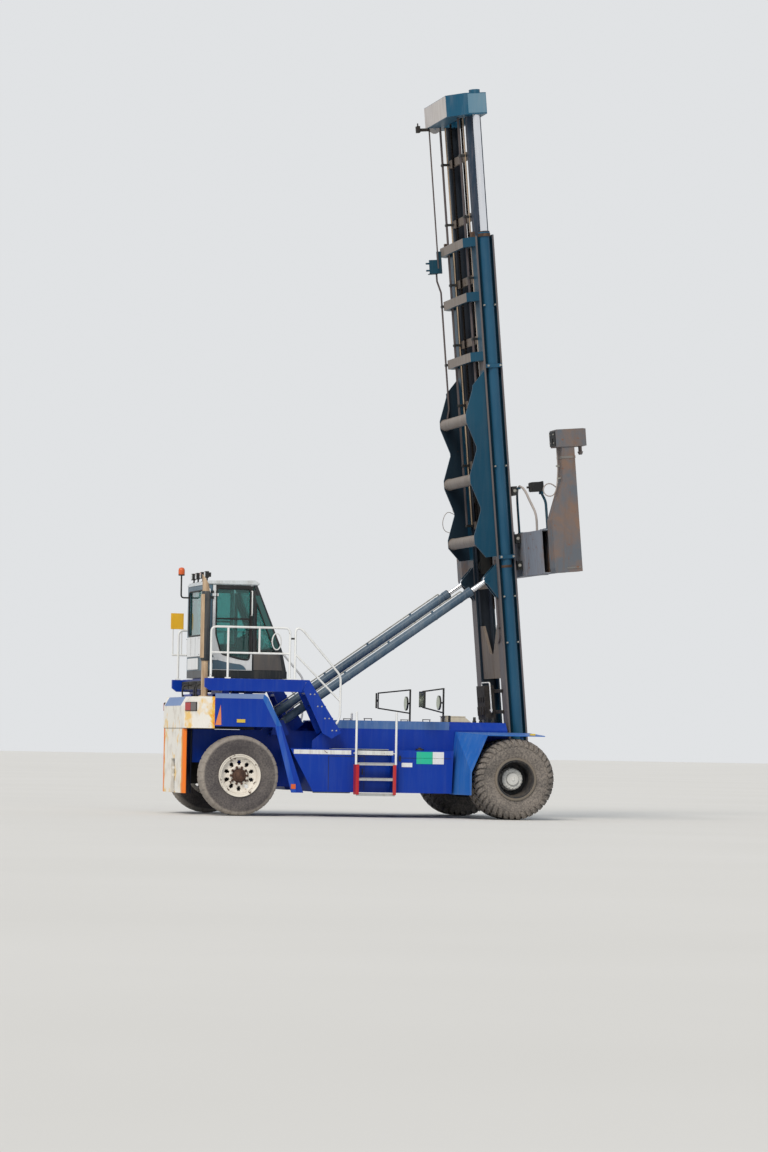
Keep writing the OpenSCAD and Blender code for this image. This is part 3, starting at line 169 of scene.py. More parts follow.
def enamel(name, paint, faded, dusty=0.35, chipped=0.2, gloss=0.38, dust="#8b7a68", rust="#5b3524",
           inner_shade=None):
    """Two-pack enamel on steel: even and half glossy, dulled by dust that lies on the level faces,
    runs down in streaks, and chipped through to rust in small ragged spots. Faces turned to the
    middle plane take a darker colour, a painted shade, where one is given."""
    made, tree, place = new_material(name)
    cloud = node(tree, "TexNoise", {"Vector": place, "Scale": 0.8, "Detail": 5.0})
    patch = node(tree, "MapRange", {"Value": cloud, "From Min": 0.38, "From Max": 0.72, "To Max": 0.65})
    colour = node(tree, "Mix", {0: patch, 6: linear(paint), 7: linear(faded)}, data_type="RGBA")
    # Dust runs in streaks some 60 mm wide and a metre long
    stretch = node(tree, "Mapping", {"Vector": place, "Scale": (14.0, 14.0, 1.1)})
    streak = node(tree, "TexNoise", {"Vector": stretch, "Scale": 1.0, "Detail": 6.0, "Roughness": 0.65})
    streak = node(tree, "MapRange", {"Value": streak, "From Min": 0.46, "From Max": 0.78, "To Max": dusty})
    face = node(tree, "SeparateXYZ", {0: node(tree, "NewGeometry").outputs["Normal"]}).outputs
    ledge = node(tree, "MapRange", {"Value": face["Z"], "From Min": 0.5, "From Max": 0.95, "To Max": dusty})
    grit = node(tree, "TexNoise", {"Vector": place, "Scale": 7.0, "Detail": 8.0, "Roughness": 0.7})
    ledge = node(tree, "Math", {0: ledge, 1: grit}, operation="MULTIPLY")
    settled = node(tree, "Math", {0: ledge, 1: streak}, operation="ADD", use_clamp=True)
    colour = node(tree, "Mix", {0: settled, 6: colour, 7: linear(dust)}, data_type="RGBA")
    # Faces turned to the middle plane are darkened here: painted shade
    if inner_shade:
        spot = node(tree, "SeparateXYZ", {0: place}).outputs
        inward_shade = node(tree, "Math", {0: spot["Y"], 1: face["Y"]}, operation="MULTIPLY")
        inward_shade = node(tree, "MapRange", {"Value": inward_shade, "From Min": -0.2, "From Max": -0.4, "To Max": 0.85})
        colour = node(tree, "Mix", {0: inward_shade, 6: colour, 7: linear(inner_shade)}, data_type="RGBA")
    # Chips from 10 to 60 mm across
    chip = node(tree, "TexNoise", {"Vector": place, "Scale": 9.0, "Detail": 9.0, "Roughness": 0.62,
                                   "Distortion": 0.6})
    bare_from = 0.78 - 0.2 * chipped
    chip = node(tree, "MapRange", {"Value": chip, "From Min": bare_from, "From Max": bare_from + 0.03})
    colour = node(tree, "Mix", {0: chip, 6: colour, 7: linear(rust)}, data_type="RGBA")
    worn = node(tree, "Math", {0: settled, 1: chip}, operation="MAXIMUM")
    rough = node(tree, "MapRange", {"Value": worn, "To Min": gloss, "To Max": 0.85})
    # The spray's peel is drawn 11 mm across, coarser than it is, so that it shows
    peel = node(tree, "TexNoise", {"Vector": place, "Scale": 90.0, "Detail": 2.0})
    peel = node(tree, "Math", {0: peel, 1: chip}, operation="SUBTRACT")
    return finished(made, {"Base Color": colour, "Roughness": rough, "IOR": 1.5, "Specular IOR Level": 0.25},
                    peel, 0.25)


def coat(finish, *names):
    """Gives CAD nodes their finish."""
    for name in names:
        for slot in cad[name].material_slots:
            slot.material = finish


deep_blue = enamel("deep_blue_enamel", "#00309a", "#0741a8", dusty=0.14, chipped=0.05, dust="#5f6f92")
sunlit_blue = enamel("sunlit_blue_enamel", "#1455ac", "#3a7cc6", dusty=0.25, chipped=0.05, dust="#8fa3b8")
coat(deep_blue, "frame", "rear_fenders", "side_tanks", "stairs", "cab_platform", "raised_deck")
coat(sunlit_blue, "front_fenders")

# Counterweight
# Three iron castings bolted together, painted white. Knocks and scrapes along the outer corner and
# the front of the upper block have laid bare the orange and yellow coats beneath.

weight_low, weight_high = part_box("counterweight")
weight_joint_z = 1.41
# How far from the rear the painted shade starts, on the upper and on the lower block
upper_shade_start, lower_shade_start = 0.402, 0.056


def counterweight_enamel():
    """Thick brushed enamel over cast iron: white on top, orange and yellow where it has worn away, in
    scrapes from 50 to 300 mm across. The castings' front parts are painted dark as shade."""
    made, tree, place = new_material("counterweight_enamel")
    axes = node(tree, "SeparateXYZ", {0: place}).outputs
    rear = weight_low.x
    # How near a place is to the front of its block, or to the lower block's corner, where the wear is
    lower_front = node(tree, "MapRange", {"Value": axes["X"], "From Min": rear + 0.02,
                                          "From Max": rear + 0.16})
    upper_front = node(tree, "MapRange", {"Value": axes["X"], "From Min": rear + 0.14,
                                          "From Max": rear + 0.38, "To Max": 0.74})
    upper = node(tree, "Math", {0: axes["Z"], 1: weight_joint_z}, operation="GREATER_THAN")
    across = node(tree, "Math", {0: axes["Y"]}, operation="ABSOLUTE")
    outer_edge = node(tree, "MapRange", {"Value": across, "From Min": 0.5, "From Max": 0.88})
    lower_front = node(tree, "Math", {0: lower_front, 1: outer_edge}, operation="MAXIMUM")
    wear = node(tree, "Mix", {0: upper, 2: lower_front, 3: upper_front}, data_type="FLOAT")
    stretch = node(tree, "Mapping", {"Vector": place, "Scale": (3.0, 3.0, 1.3)})
    torn = node(tree, "TexNoise", {"Vector": stretch, "Scale": 2.6, "Detail": 8.0, "Roughness": 0.68,
                                   "Distortion": 0.5})
    laid_bare = node(tree, "Math", {0: wear, 1: torn}, operation="ADD")
    orange = node(tree, "MapRange", {"Value": laid_bare, "From Min": 1.16, "From Max": 1.26})
    yellow_edge = node(tree, "MapRange", {"Value": laid_bare, "From Min": 1.06, "From Max": 1.14})
    grime = node(tree, "TexNoise", {"Vector": place, "Scale": 5.0, "Detail": 7.0})
    grime = node(tree, "MapRange", {"Value": grime, "From Min": 0.5, "From Max": 0.8, "To Max": 0.6})
    stain = node(tree, "TexNoise", {"Vector": place, "Scale": 3.4, "Detail": 3.0})
    stain = node(tree, "MapRange", {"Value": stain, "From Min": 0.56, "From Max": 0.66, "To Max": 0.8})
    yellow = node(tree, "Math", {0: yellow_edge, 1: stain}, operation="MAXIMUM")
    # The castings' front parts, shaded by the parts round them, are painted dark as shade
    shade_from = node(tree, "Mix", {0: upper, 2: rear + lower_shade_start, 3: rear + upper_shade_start},
                       data_type="FLOAT")
    painted_shade = node(tree, "Math", {0: axes["X"], 1: shade_from}, operation="GREATER_THAN")
    # The joint between the lower and the upper casting is a dark line, 12 mm wide
    joint = node(tree, "Math", {0: axes["Z"], 1: weight_joint_z, 2: 0.006}, operation="COMPARE")
    colour = node(tree, "Mix", {0: grime, 6: linear("#efece4"), 7: linear("#b9ad9d")}, data_type="RGBA")
    for share, paint in ((yellow, "#efc04a"), (orange, "#ee7a1c"), (painted_shade, "#0b1630"), (joint, "#5f564e")):
        colour = node(tree, "Mix", {0: share, 6: colour, 7: linear(paint)}, data_type="RGBA")
    cast = node(tree, "TexNoise", {"Vector": place, "Scale": 45.0, "Detail": 4.0})
    cast = node(tree, "Math", {0: cast, 1: yellow_edge}, operation="SUBTRACT")
    return finished(made, {"Base Color": colour, "Roughness": 0.55, "IOR": 1.5}, cast, 0.35, 0.003)


coat(counterweight_enamel(), "counterweight")


def piece(name, shape, finish, body="chassis", edge=0.0, place=None):
    """Turns a bmesh into a piece that rides on a body; edge is the radius of its rounded edges."""
    if place:
        shape.transform(place)
    bmesh.ops.recalc_face_normals(shape, faces=shape.faces)
    mesh = bpy.data.meshes.new(name)
    shape.to_mesh(mesh)
    shape.free()
    mesh.materials.append(finish)
    made = bpy.data.objects.new(name, mesh)
    scene.collection.objects.link(made)
    mesh.shade_smooth()
    if edge:
        rounding = made.modifiers.new("rounded_edges", "BEVEL")
        rounding.width = edge
        rounding.segments = 2
        rounding.limit_method = "ANGLE"
        rounding.harden_normals = True
    else:
        mesh.set_sharp_from_angle(angle=math.radians(35))
    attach(made, body)
    return made


def box(shape, corner, opposite, turn=None):
    """Adds a box between two corners, turned about its middle where a matrix is given."""
    low, high = (Vector(ends) for ends in zip(*map(sorted, zip(corner, opposite))))
    size = Matrix.Diagonal((*(high - low), 1))
    place = Matrix.Translation((low + high) / 2) @ (turn or Matrix.Identity(4)) @ size
    return bmesh.ops.create_cube(shape, size=1, matrix=place)["verts"]


def boxes(*corners, both=True):
    """A shape of boxes, each between a pair of corners, and the same on the other side for both."""
    shape = bmesh.new()
    for low, high in corners:
        for side in (1, -1) if both else (1,):
            box(shape, (low[0], side * low[1], low[2]), (high[0], side * high[1], high[2]))
    return shape


def join(shape, rings, closed=True):
    """Adds the faces between rings of points, from the last to the first too, or else with flat ends."""
    for i in range(len(rings) if closed else len(rings) - 1):
        here, after = rings[i], rings[(i + 1) % len(rings)]
        for k in range(len(here)):
            j = (k + 1) % len(here)
            shape.faces.new((here[k], here[j], after[j], after[k]))
    if not closed:
        shape.faces.new(rings[0])
        shape.faces.new(rings[-1])


def plates(outline, y0, y1, both=True):
    """A shape of plates cut to an outline of (x, z) points, from y0 to y1 out from the middle."""
    shape = bmesh.new()
    for side in (1, -1) if both else (1,):
        rings = [[shape.verts.new((x, side * y, z)) for x, z in outline] for y in (y0, y1)]
        join(shape, rings, closed=False)
    return shape


def moulded_lens(name, paint, deep):
    """Moulded acrylic lamp lens: saturated and glossy, with the ribs, 8 mm apart, that scatter its
    light."""
    made, tree, place = new_material(name)
    ribs = node(tree, "TexWave", {"Vector": place, "Scale": 40.0}, bands_direction="Z").outputs["Fac"]
    tint = node(tree, "Mix", {0: ribs, 6: linear(deep), 7: linear(paint)}, data_type="RGBA")
    return finished(made, {"Base Color": tint, "Roughness": 0.18, "Coat Weight": 0.5}, ribs, depth=0.001)


def moulded_plastic(name, paint, pale, rough=0.55):
    """Moulded black plastic or rubber with a fine grain, drawn 3 mm across so that it shows, greyed a
    little by sun and dust."""
    made, tree, place = new_material(name)
    cloud = node(tree, "TexNoise", {"Vector": place, "Scale": 4.0, "Detail": 6.0})
    cloud = node(tree, "MapRange", {"Value": cloud, "From Min": 0.45, "From Max": 0.8})
    tint = node(tree, "Mix", {0: cloud, 6: linear(paint), 7: linear(pale)}, data_type="RGBA")
    grain = node(tree, "TexNoise", {"Vector": place, "Scale": 300.0, "Detail": 2.0})
    return finished(made, {"Base Color": tint, "Roughness": rough}, grain, 0.2, 0.0008)


black_plastic = moulded_plastic("black_moulded_plastic", "#141517", "#3a3936")
red_lens = moulded_lens("red_acrylic_lens", "#c8281c", "#7c130d")
smoked_lens = moulded_lens("smoked_acrylic_lens", "#6f6a68", "#413d3c")

# Tail lamps stand on the slanted corners of the upper block: a dark tray, a red lens inside and a
# smoked one outside
mirror = Matrix.Scale(-1, 4, (0, 1, 0))
sides = ((1, "left", Matrix.Identity(4)), (-1, "right", mirror))
corner_slant = math.atan2(0.21, 0.55)
lens_size = (0.03, 0.165, 0.13)
for side, word, _ in sides:
    turn = Matrix.Rotation(-side * corner_slant, 4, "Z")
    middle = Vector((weight_low.x + 0.0845, side * 1.10, weight_high.z - 0.165))
    for name, inset, outward, size, finish in (
        ("tray", -0.002, 0.0, (0.03, 0.36, 0.15), black_plastic),
        ("stop", -0.012, -0.085, lens_size, red_lens),
        ("turn", -0.012, 0.085, lens_size, smoked_lens),
    ):
        shape = bmesh.new()
        spot = middle + turn @ Vector((inset, side * outward, 0))
        box(shape, spot - Vector(size) / 2, spot + Vector(size) / 2, turn)
        piece(f"tail_lamp_{name}_{word}", shape, finish, edge=0.006)

# Slate blue shoulder at the top of the upper block
slope = Vector((0.1, 0, 0.171)).normalized()
proud = Vector((-slope.z, 0, slope.x)) * 0.0015
foot = Vector((weight_low.x, 0, weight_high.z - 0.1529))
ends = [foot + slope * 0.004, foot + slope * 0.172]
outline = [(spot.x, spot.z) for spot in (*ends, ends[1] + proud, ends[0] + proud)]
slate_blue = enamel("slate_blue_shoulder", "#5b7cb4", "#7c96c0", dusty=0.3, chipped=0.1, dust="#8d9ab0")
piece("counterweight_shoulder", plates(outline, -0.55, 0.86, both=False), slate_blue)

# Fender lamps, painted edge highlights and scrapes
# Small sealed side lamps on rubber feet and glued prismatic reflectors. The fender's folded edges
# catch the sky, and painted highlights stand for it: a pale band along its top, and bright ones down
# its front and its leg.

front_end = Matrix.Translation((drive_x, 0, 0))
rear_low, rear_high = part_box("rear_fenders")
side_y = rear_high.y
marker_lamps = boxes(((-4.56, side_y, 1.515), (-4.42, side_y + 0.012, 1.57)))
leg_reflectors = boxes(((-3.64, side_y, 0.45), (-3.56, side_y + 0.006, 0.53)))
orange_lens = moulded_lens("orange_acrylic_lens", "#ee6b1a", "#b8450e")
yellow_lens = moulded_lens("yellow_acrylic_lens", "#f0d04a", "#bb9a22")
piece("rear_marker_lamps", marker_lamps, yellow_lens, edge=0.003, place=front_end)
piece("leg_reflectors", leg_reflectors, orange_lens, edge=0.003, place=front_end)

primer = enamel("laid_bare_primer", "#d97a4c", "#e79a6c", dusty=0.3, chipped=0.4)
scrape = [(-4.915, 1.47), (-4.815, 1.47), (-4.82, 1.62), (-4.83, 1.80), (-4.865, 1.66)]
piece("fender_scrapes", plates(scrape, side_y + 0.0003, side_y + 0.0015), primer,
      place=front_end)
# Lighter strips on the fender's folds: painted highlights where they catch the sky
top_highlight_paint = enamel("pale_fender_edge", "#6f87b6", "#8d9fc2", dusty=0.3, chipped=0.1, dust="#9aa5b8")
lit_leg = enamel("lit_leg_enamel", "#0f45ac", "#1d58b8", dusty=0.2, chipped=0.1, dust="#8fa3b8")
leg_top, front, top = 1.47, rear_high.x, rear_high.z
for name, finish, outline in (
    ("fender_top_edges", top_highlight_paint, [(rear_low.x + 0.002, top - 0.078), (front - 0.70, top - 0.078),
                                     (front - 0.682, top - 0.003), (rear_low.x + 0.002, top - 0.003)]),
    ("fender_front_edges", sunlit_blue, [(front - 0.70, top - 0.08), (front - 0.47, leg_top),
                                         (front - 0.376, leg_top), (front - 0.614, top - 0.062),
                                         (front - 0.68, top - 0.006)]),
    ("fender_leg_edges", lit_leg, [(front - 0.486, leg_top - 0.002), (front - 0.20, rear_low.z + 0.004),
                                   (front - 0.115, rear_low.z + 0.004),
                                   (front - 0.402, leg_top - 0.002)]),
):
    piece(name, plates(outline, side_y + 0.0003, side_y + 0.0012), finish)
# Thin black sheets on the middle plane between the wheels: painted shade that fills the view under the body
belly_screens = boxes(((-5.1, -0.006, 0.5), (-4.75, 0.006, 1.38)),
                      ((-4.3, -0.006, 0.5), (-3.9, 0.006, 1.38)), both=False)
piece("belly_screens", belly_screens, black_plastic, place=front_end)

# Drive wheels
# Bias-ply 14.00-24 lug tyres in twins, on dark lock-ring rims round a white planetary hub. Each
# tyre is a moulded carcass with 38 bar lugs on either half, which bend down over the shoulder.


def tyre_rubber(name, tread, wall, axle=None, shoulder=0.0):
    """Vulcanised tyre rubber: matt and grey-black, pale brown with dust on the tread and shoulder.
    Where the axle is given, the dust lies outside the shoulder's radius round it."""
    made, tree, place = new_material(name)
    cloud = node(tree, "TexNoise", {"Vector": place, "Scale": 2.2, "Detail": 8.0, "Roughness": 0.6})
    speck = node(tree, "TexNoise", {"Vector": place, "Scale": 38.0, "Detail": 4.0})
    both = node(tree, "Math", {0: cloud, 1: speck}, operation="MULTIPLY")
    dusty = node(tree, "MapRange", {"Value": both, "From Min": 0.14, "From Max": 0.36,
                                    "To Max": 0.3 if axle else 1.0})
    if axle:
        flat = node(tree, "VectorMath", {0: place, 1: (axle[0], 0, axle[1])}, operation="SUBTRACT")
        flat = node(tree, "VectorMath", {0: flat, 1: (1, 0, 1)}, operation="MULTIPLY")
        far = node(tree, "VectorMath", {0: flat}, operation="LENGTH")
        band = node(tree, "MapRange", {"Value": far, "From Min": shoulder - 0.02,
                                       "From Max": shoulder + 0.01, "To Max": 0.62})
        dusty = node(tree, "Math", {0: dusty, 1: band}, operation="ADD", use_clamp=True)
    tint = node(tree, "Mix", {0: dusty, 6: linear(wall), 7: linear(tread)}, data_type="RGBA")
    return finished(made, {"Base Color": tint, "Roughness": 0.88}, speck, depth=0.003)


def lathe(shape, profile, centre=(0, 0, 0), steps=40):
    """Turns a closed outline of (radius, y) points about the Y axis through a centre."""
    rings = []
    for step in range(steps):
        angle = 2 * math.pi * step / steps
        rings.append([shape.verts.new((centre[0] + r * math.cos(angle), centre[1] + y,
                                       centre[2] + r * math.sin(angle))) for r, y in profile])
    join(shape, rings)


def new_tree(name, **kinds):
    """A Geometry Nodes tree with named inputs of these kinds, and the sockets that they arrive at."""
    tree = bpy.data.node_groups.new(name, "GeometryNodeTree")
    for label, kind in kinds.items():
        tree.interface.new_socket(label, in_out="INPUT", socket_type=f"NodeSocket{kind}")
    tree.interface.new_socket("Geometry", in_out="OUTPUT", socket_type="NodeSocketGeometry")
    return tree, node(tree, "NodeGroupInput").outputs


def ended(tree, copies, finish):
    """Ends a tree: its copies become one plain mesh in one finish."""
    solid = node(tree, "GeometryNodeRealizeInstances", {0: copies})
    coated = node(tree, "GeometryNodeSetMaterial", {"Geometry": solid, "Material": finish})
    node(tree, "NodeGroupOutput", {0: coated})
    return tree


def lug_tree():
    """Lugs of one half of a tread: a bar bent over the shoulder by three curves, repeated round."""
    tree, given = new_tree("tread_lugs", Count="Int", Radius="Float", Width="Float", Depth="Float",
                           Reach="Float", Slant="Float", Drop="Float", Rubber="Material")
    size = node(tree, "CombineXYZ", {"X": given["Width"], "Y": 1.0, "Z": given["Depth"]})
    bar = node(tree, "GeometryNodeMeshCube", {"Size": size, "Vertices X": 3, "Vertices Y": 10,
                                              "Vertices Z": 2})
    spot = node(tree, "SeparateXYZ", {0: node(tree, "GeometryNodeInputPosition")}).outputs
    along = node(tree, "Math", {0: spot["Y"], 1: 0.5}, operation="ADD")
    bends = []
    for points in (((0, 0.03), (0.55, 0.72), (0.75, 0.9), (0.88, 0.985), (1, 1.0)),
                   ((0, 0), (0.55, 0.06), (0.75, 0.22), (0.88, 0.55), (1, 1.0)),
                   ((0, 0), (0.55, 0.1), (0.75, 0.45), (0.88, 0.8), (1, 0.95))):
        bend = node(tree, "FloatCurve", {"Value": along})
        line = bend.mapping.curves[0]
        line.points[0].location = points[0]
        line.points[1].location = points[-1]
        for point in points[1:-1]:
            line.points.new(*point)
        bend.mapping.update()
        bends.append(bend)
    across, fall, tilt = bends
    flat = node(tree, "Math", {0: 1.0, 1: tilt}, operation="SUBTRACT")
    narrow = node(tree, "Math", {0: along, 1: -0.25, 2: 1.1}, operation="MULTIPLY_ADD")
    x = node(tree, "Math", {0: spot["X"], 1: narrow}, operation="MULTIPLY")
    x = node(tree, "Math", {0: along, 1: given["Slant"], 2: x}, operation="MULTIPLY_ADD")
    y = node(tree, "Math", {0: spot["Z"], 1: tilt}, operation="MULTIPLY")
    y = node(tree, "Math", {0: across, 1: given["Reach"], 2: y}, operation="MULTIPLY_ADD")
    z = node(tree, "Math", {0: spot["Z"], 1: flat}, operation="MULTIPLY")
    sunk = node(tree, "Math", {0: given["Depth"], 1: -0.5, 2: given["Radius"]}, operation="MULTIPLY_ADD")
    z = node(tree, "Math", {0: z, 1: sunk}, operation="ADD")
    lost = node(tree, "Math", {0: fall, 1: given["Drop"]}, operation="MULTIPLY")
    z = node(tree, "Math", {0: z, 1: lost}, operation="SUBTRACT")
    bent = node(tree, "CombineXYZ", {"X": x, "Y": y, "Z": z})
    lug = node(tree, "GeometryNodeSetPosition", {"Geometry": bar, "Position": bent})
    share = node(tree, "Math", {0: 2 * math.pi, 1: given["Count"]}, operation="DIVIDE")
    turn = node(tree, "Math", {0: node(tree, "GeometryNodeInputIndex"), 1: share}, operation="MULTIPLY")
    turn = node(tree, "FunctionNodeEulerToRotation", {0: node(tree, "CombineXYZ", {"Y": turn})})
    spots = node(tree, "GeometryNodePoints", {"Count": given["Count"]})
    copies = node(tree, "GeometryNodeInstanceOnPoints", {"Points": spots, "Instance": lug,
                                                         "Rotation": turn})
    return ended(tree, copies, given["Rubber"])


def grow(shape, tree, places, **values):
    """Runs a Geometry Nodes tree with its named inputs and adds the result at each place."""
    holder = bpy.data.objects.new("holder", bpy.data.meshes.new("holder"))
    scene.collection.objects.link(holder)
    modifier = holder.modifiers.new("grow", "NODES")
    modifier.node_group = tree
    for item in tree.interface.items_tree:
        if item.in_out == "INPUT":
            modifier[item.identifier] = values[item.name]
    holder.update_tag()
    graph = bpy.context.evaluated_depsgraph_get()
    grown = bpy.data.meshes.new_from_object(holder.evaluated_get(graph))
    holder.modifiers.remove(modifier)
    bpy.data.objects.remove(holder)
    for place in places:
        copy = grown.copy()
        copy.transform(place)
        shape.from_mesh(copy)
        bpy.data.meshes.remove(copy)
    bpy.data.meshes.remove(grown)


def carcass(half, outer, groove=0.0):
    """Outline of a tyre without its lugs: bead, bulged side wall, shoulder and crown."""
    wall = [(0.306, 0.80), (0.32, 0.84), (0.335, 0.82), (0.348, 0.84), (0.40, 0.86), (0.46, 0.975),
            (0.52, 0.995), (outer - 0.075, 0.97), (outer - 0.035, 0.88), (outer - 0.012, 0.74),
            (outer - 0.004, 0.5), (outer, 0.3)]
    if groove:
        wall += [(outer, 0.12), (outer - groove, 0.11), (outer - groove, 0.07), (outer, 0.06)]
    return [(r, share * half) for r, share in wall] + [(r, -share * half) for r, share in reversed(wall)]


def tyre(shape, centre, half, radius, count, below, groove=0.0, **lug):
    """Adds a tyre: its carcass, below the lugs' tops, and a count of lugs on either half."""
    lathe(shape, carcass(half, radius - below, groove), centre, steps=72)
    between = mirror @ Matrix.Rotation(math.pi / count, 4, "Y")
    places = [Matrix.Translation(centre) @ flip for flip in (Matrix.Identity(4), between)]
    grow(shape, lugs, places, Count=count, Reach=half - 0.012, **lug)


drive_radius = joints["drive_spin_left"]["pos_m"][2]
drive_low, drive_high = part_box("drive_tyres_left")
tread_half = 0.1875
dusty_rubber = tyre_rubber("dusty_lug_rubber", "#8b837b", "#504d4b")
lugs = lug_tree()
for _, word, flip in sides:
    shape = bmesh.new()
    for mid in (drive_high.y - tread_half, drive_low.y + tread_half):
        tyre(shape, Vector((drive_x, mid, drive_radius)), tread_half, drive_radius, 38, 0.03,
             Radius=drive_radius - 0.003, Width=0.07, Depth=0.05, Slant=0.075, Drop=0.10,
             Rubber=dusty_rubber)
    tyres = piece(f"twin_drive_tyres_{word}", shape, dusty_rubber, f"drive_wheels_{word}",
                  place=flip)
    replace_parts(tyres, f"drive_tyres_{word}")

# Drive rims and hubs
# Rolled steel rims with a flange and a lock ring, painted dark grey, on a disc held by studs. The
# planetary hub stands in the dish: a white casting with a ring of cover bolts and a drain plug.

rim_grey = enamel("dark_rim_enamel", "#24262a", "#34373b", dusty=0.5, chipped=0.5, gloss=0.45,
                  dust="#7a6f63")
lock_ring_steel = enamel("scuffed_lock_ring", "#6d675f", "#857d72", dusty=0.5, chipped=0.7, gloss=0.5)
hub_white = enamel("white_hub_enamel", "#e6e7e4", "#d2d3d0", dusty=0.35, chipped=0.3, gloss=0.45,
                   dust="#a89f92")


def nut_tree():
    """Hexagon nuts on washers, spaced evenly round a circle about the Y axis."""
    tree, given = new_tree("ring_of_nuts", Count="Int", Circle="Float", Nut="Float", Height="Float",
                           Steel="Material")
    joined = node(tree, "GeometryNodeJoinGeometry")
    # Nut, washer and stud: corners, and radius and height as shares of the nut's
    for corners, wide, tall in ((6, 1.0, 1.0), (14, 1.35, 0.35), (8, 0.5, 1.7)):
        radius = node(tree, "Math", {0: given["Nut"], 1: wide}, operation="MULTIPLY")
        depth = node(tree, "Math", {0: given["Height"], 1: tall}, operation="MULTIPLY")
        part = node(tree, "GeometryNodeMeshCylinder", {"Vertices": corners, "Radius": radius,
                                                       "Depth": depth})
        tree.links.new(part.outputs["Mesh"], joined.inputs[0])
    circle = node(tree, "GeometryNodeMeshCircle", {"Vertices": given["Count"],
                                                   "Radius": given["Circle"]})
    ring = node(tree, "GeometryNodeInstanceOnPoints", {"Points": circle, "Instance": joined})
    turned = node(tree, "GeometryNodeTransform", {"Geometry": ring, "Rotation": (math.pi / 2, 0, 0)})
    return ended(tree, turned, given["Steel"])


nuts = nut_tree()
twin_half = (drive_high.y - drive_low.y) / 2
disc_y = (drive_high.y + drive_low.y) / 2
axle_end = 1.315 - disc_y
hub = Vector((drive_x, disc_y, drive_radius))
for _, word, flip in sides:
    body = f"drive_wheels_{word}"
    shape = bmesh.new()
    # Barrel with four flanges, then the disc and its neck
    lathe(shape, [(0.304, -twin_half + 0.012), (0.346, -twin_half + 0.008), (0.35, -twin_half + 0.02),
                  (0.306, -twin_half + 0.03), (0.305, -0.045), (0.345, -0.034), (0.345, -0.022),
                  (0.305, -0.014), (0.305, 0.014), (0.345, 0.022), (0.345, 0.034), (0.305, 0.045),
                  (0.305, twin_half - 0.06), (0.318, twin_half - 0.05), (0.322, twin_half - 0.022),
                  (0.312, twin_half - 0.012), (0.292, twin_half - 0.016), (0.284, twin_half - 0.05),
                  (0.268, twin_half - 0.11), (0.262, 0.06), (0.262, -twin_half + 0.06),
                  (0.286, -twin_half + 0.03)], hub, steps=96)
    lathe(shape, [(0.13, -0.012), (0.264, -0.012), (0.264, 0.02), (0.236, 0.016), (0.18, 0.016),
                  (0.172, 0.02), (0.13, 0.02)], hub, steps=64)
    lathe(shape, [(0.122, axle_end), (0.165, axle_end), (0.165, -0.01), (0.122, -0.01)], hub, steps=32)
    rims = piece(f"drive_rims_turned_{word}", shape, rim_grey, body, edge=0.002, place=flip)
    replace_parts(rims, f"drive_rims_{word}")
    shape = bmesh.new()
    lathe(shape, [(0.322, twin_half - 0.03), (0.346, twin_half - 0.026), (0.352, twin_half - 0.016),
                  (0.346, twin_half - 0.007), (0.318, twin_half - 0.005), (0.312, twin_half - 0.014)],
          hub, steps=96)
    piece(f"drive_lock_ring_{word}", shape, lock_ring_steel, body, place=flip)
    shape = bmesh.new()
    grow(shape, nuts, [Matrix.Translation(hub + Vector((0, 0.028, 0)))], Count=10, Circle=0.215, Nut=0.02,
         Height=0.028, Steel=rim_grey)
    piece(f"drive_wheel_nuts_{word}", shape, rim_grey, body, place=flip)
    # Planetary hub: ribbed drum, cover and bolts
    shape = bmesh.new()
    lathe(shape, [(0.02, 0.01), (0.186, 0.01), (0.186, 0.035), (0.17, 0.045), (0.165, 0.13),
                  (0.174, 0.14), (0.174, 0.165), (0.162, 0.176), (0.11, 0.18), (0.10, 0.21),
                  (0.085, 0.216), (0.03, 0.216), (0.026, 0.228), (0.0005, 0.228), (0.0005, 0.01)], hub,
          steps=64)
    for step in range(20):
        turn = Matrix.Translation(hub) @ Matrix.Rotation(2 * math.pi * step / 20, 4, "Y")
        rib = box(shape, (-0.006, 0.04, 0.155), (0.006, 0.165, 0.178))
        bmesh.ops.transform(shape, matrix=turn, verts=rib)
    grow(shape, nuts, [Matrix.Translation(hub + Vector((0, 0.184, 0)))], Count=16, Circle=0.143, Nut=0.012,
         Height=0.014, Steel=hub_white)
    piece(f"planetary_hub_{word}", shape, hub_white, body, edge=0.002, place=flip)

# Steer wheels
# Worn road-pattern tyres in singles, on pressed disc wheels painted white. Rust shows round the
# ten hand holes, and the bare iron hub has gone brown.

steer_x = joints["steer_left"]["pos_m"][0]
steer_radius = joints["steer_spin_left"]["pos_m"][2]
steer_low, steer_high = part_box("steer_tyre_left")
worn_rubber = tyre_rubber("worn_steer_rubber", "#a39b92", "#474345", (steer_x, steer_radius),
                          steer_radius - 0.06)
rusty_white = enamel("rusty_white_disc", "#e9e4da", "#d8d0c3", dusty=0.35, chipped=0.95, gloss=0.5,
                     dust="#a08e7b", rust="#4f3a2b")


def rusted_iron(name, brown, dark):
    """Bare cast iron rusted to an even matt brown, darker in patches some 70 mm across where grease
    has reached it."""
    made, tree, place = new_material(name)
    cloud = node(tree, "TexNoise", {"Vector": place, "Scale": 14.0, "Detail": 8.0, "Roughness": 0.65})
    cloud = node(tree, "MapRange", {"Value": cloud, "From Min": 0.35, "From Max": 0.68})
    tint = node(tree, "Mix", {0: cloud, 6: linear(dark), 7: linear(brown)}, data_type="RGBA")
    return finished(made, {"Base Color": tint, "Roughness": 0.8, "Metallic": 0.2}, cloud, 0.4)


brown_iron = rusted_iron("rusted_hub_iron", "#6a4e40", "#3a2822")
black_iron = rusted_iron("greasy_black_iron", "#3c3733", "#1d1c1c")
coat(black_iron, "drive_axle", "steer_axle", "steer_knuckle_left", "steer_knuckle_right", "engine")

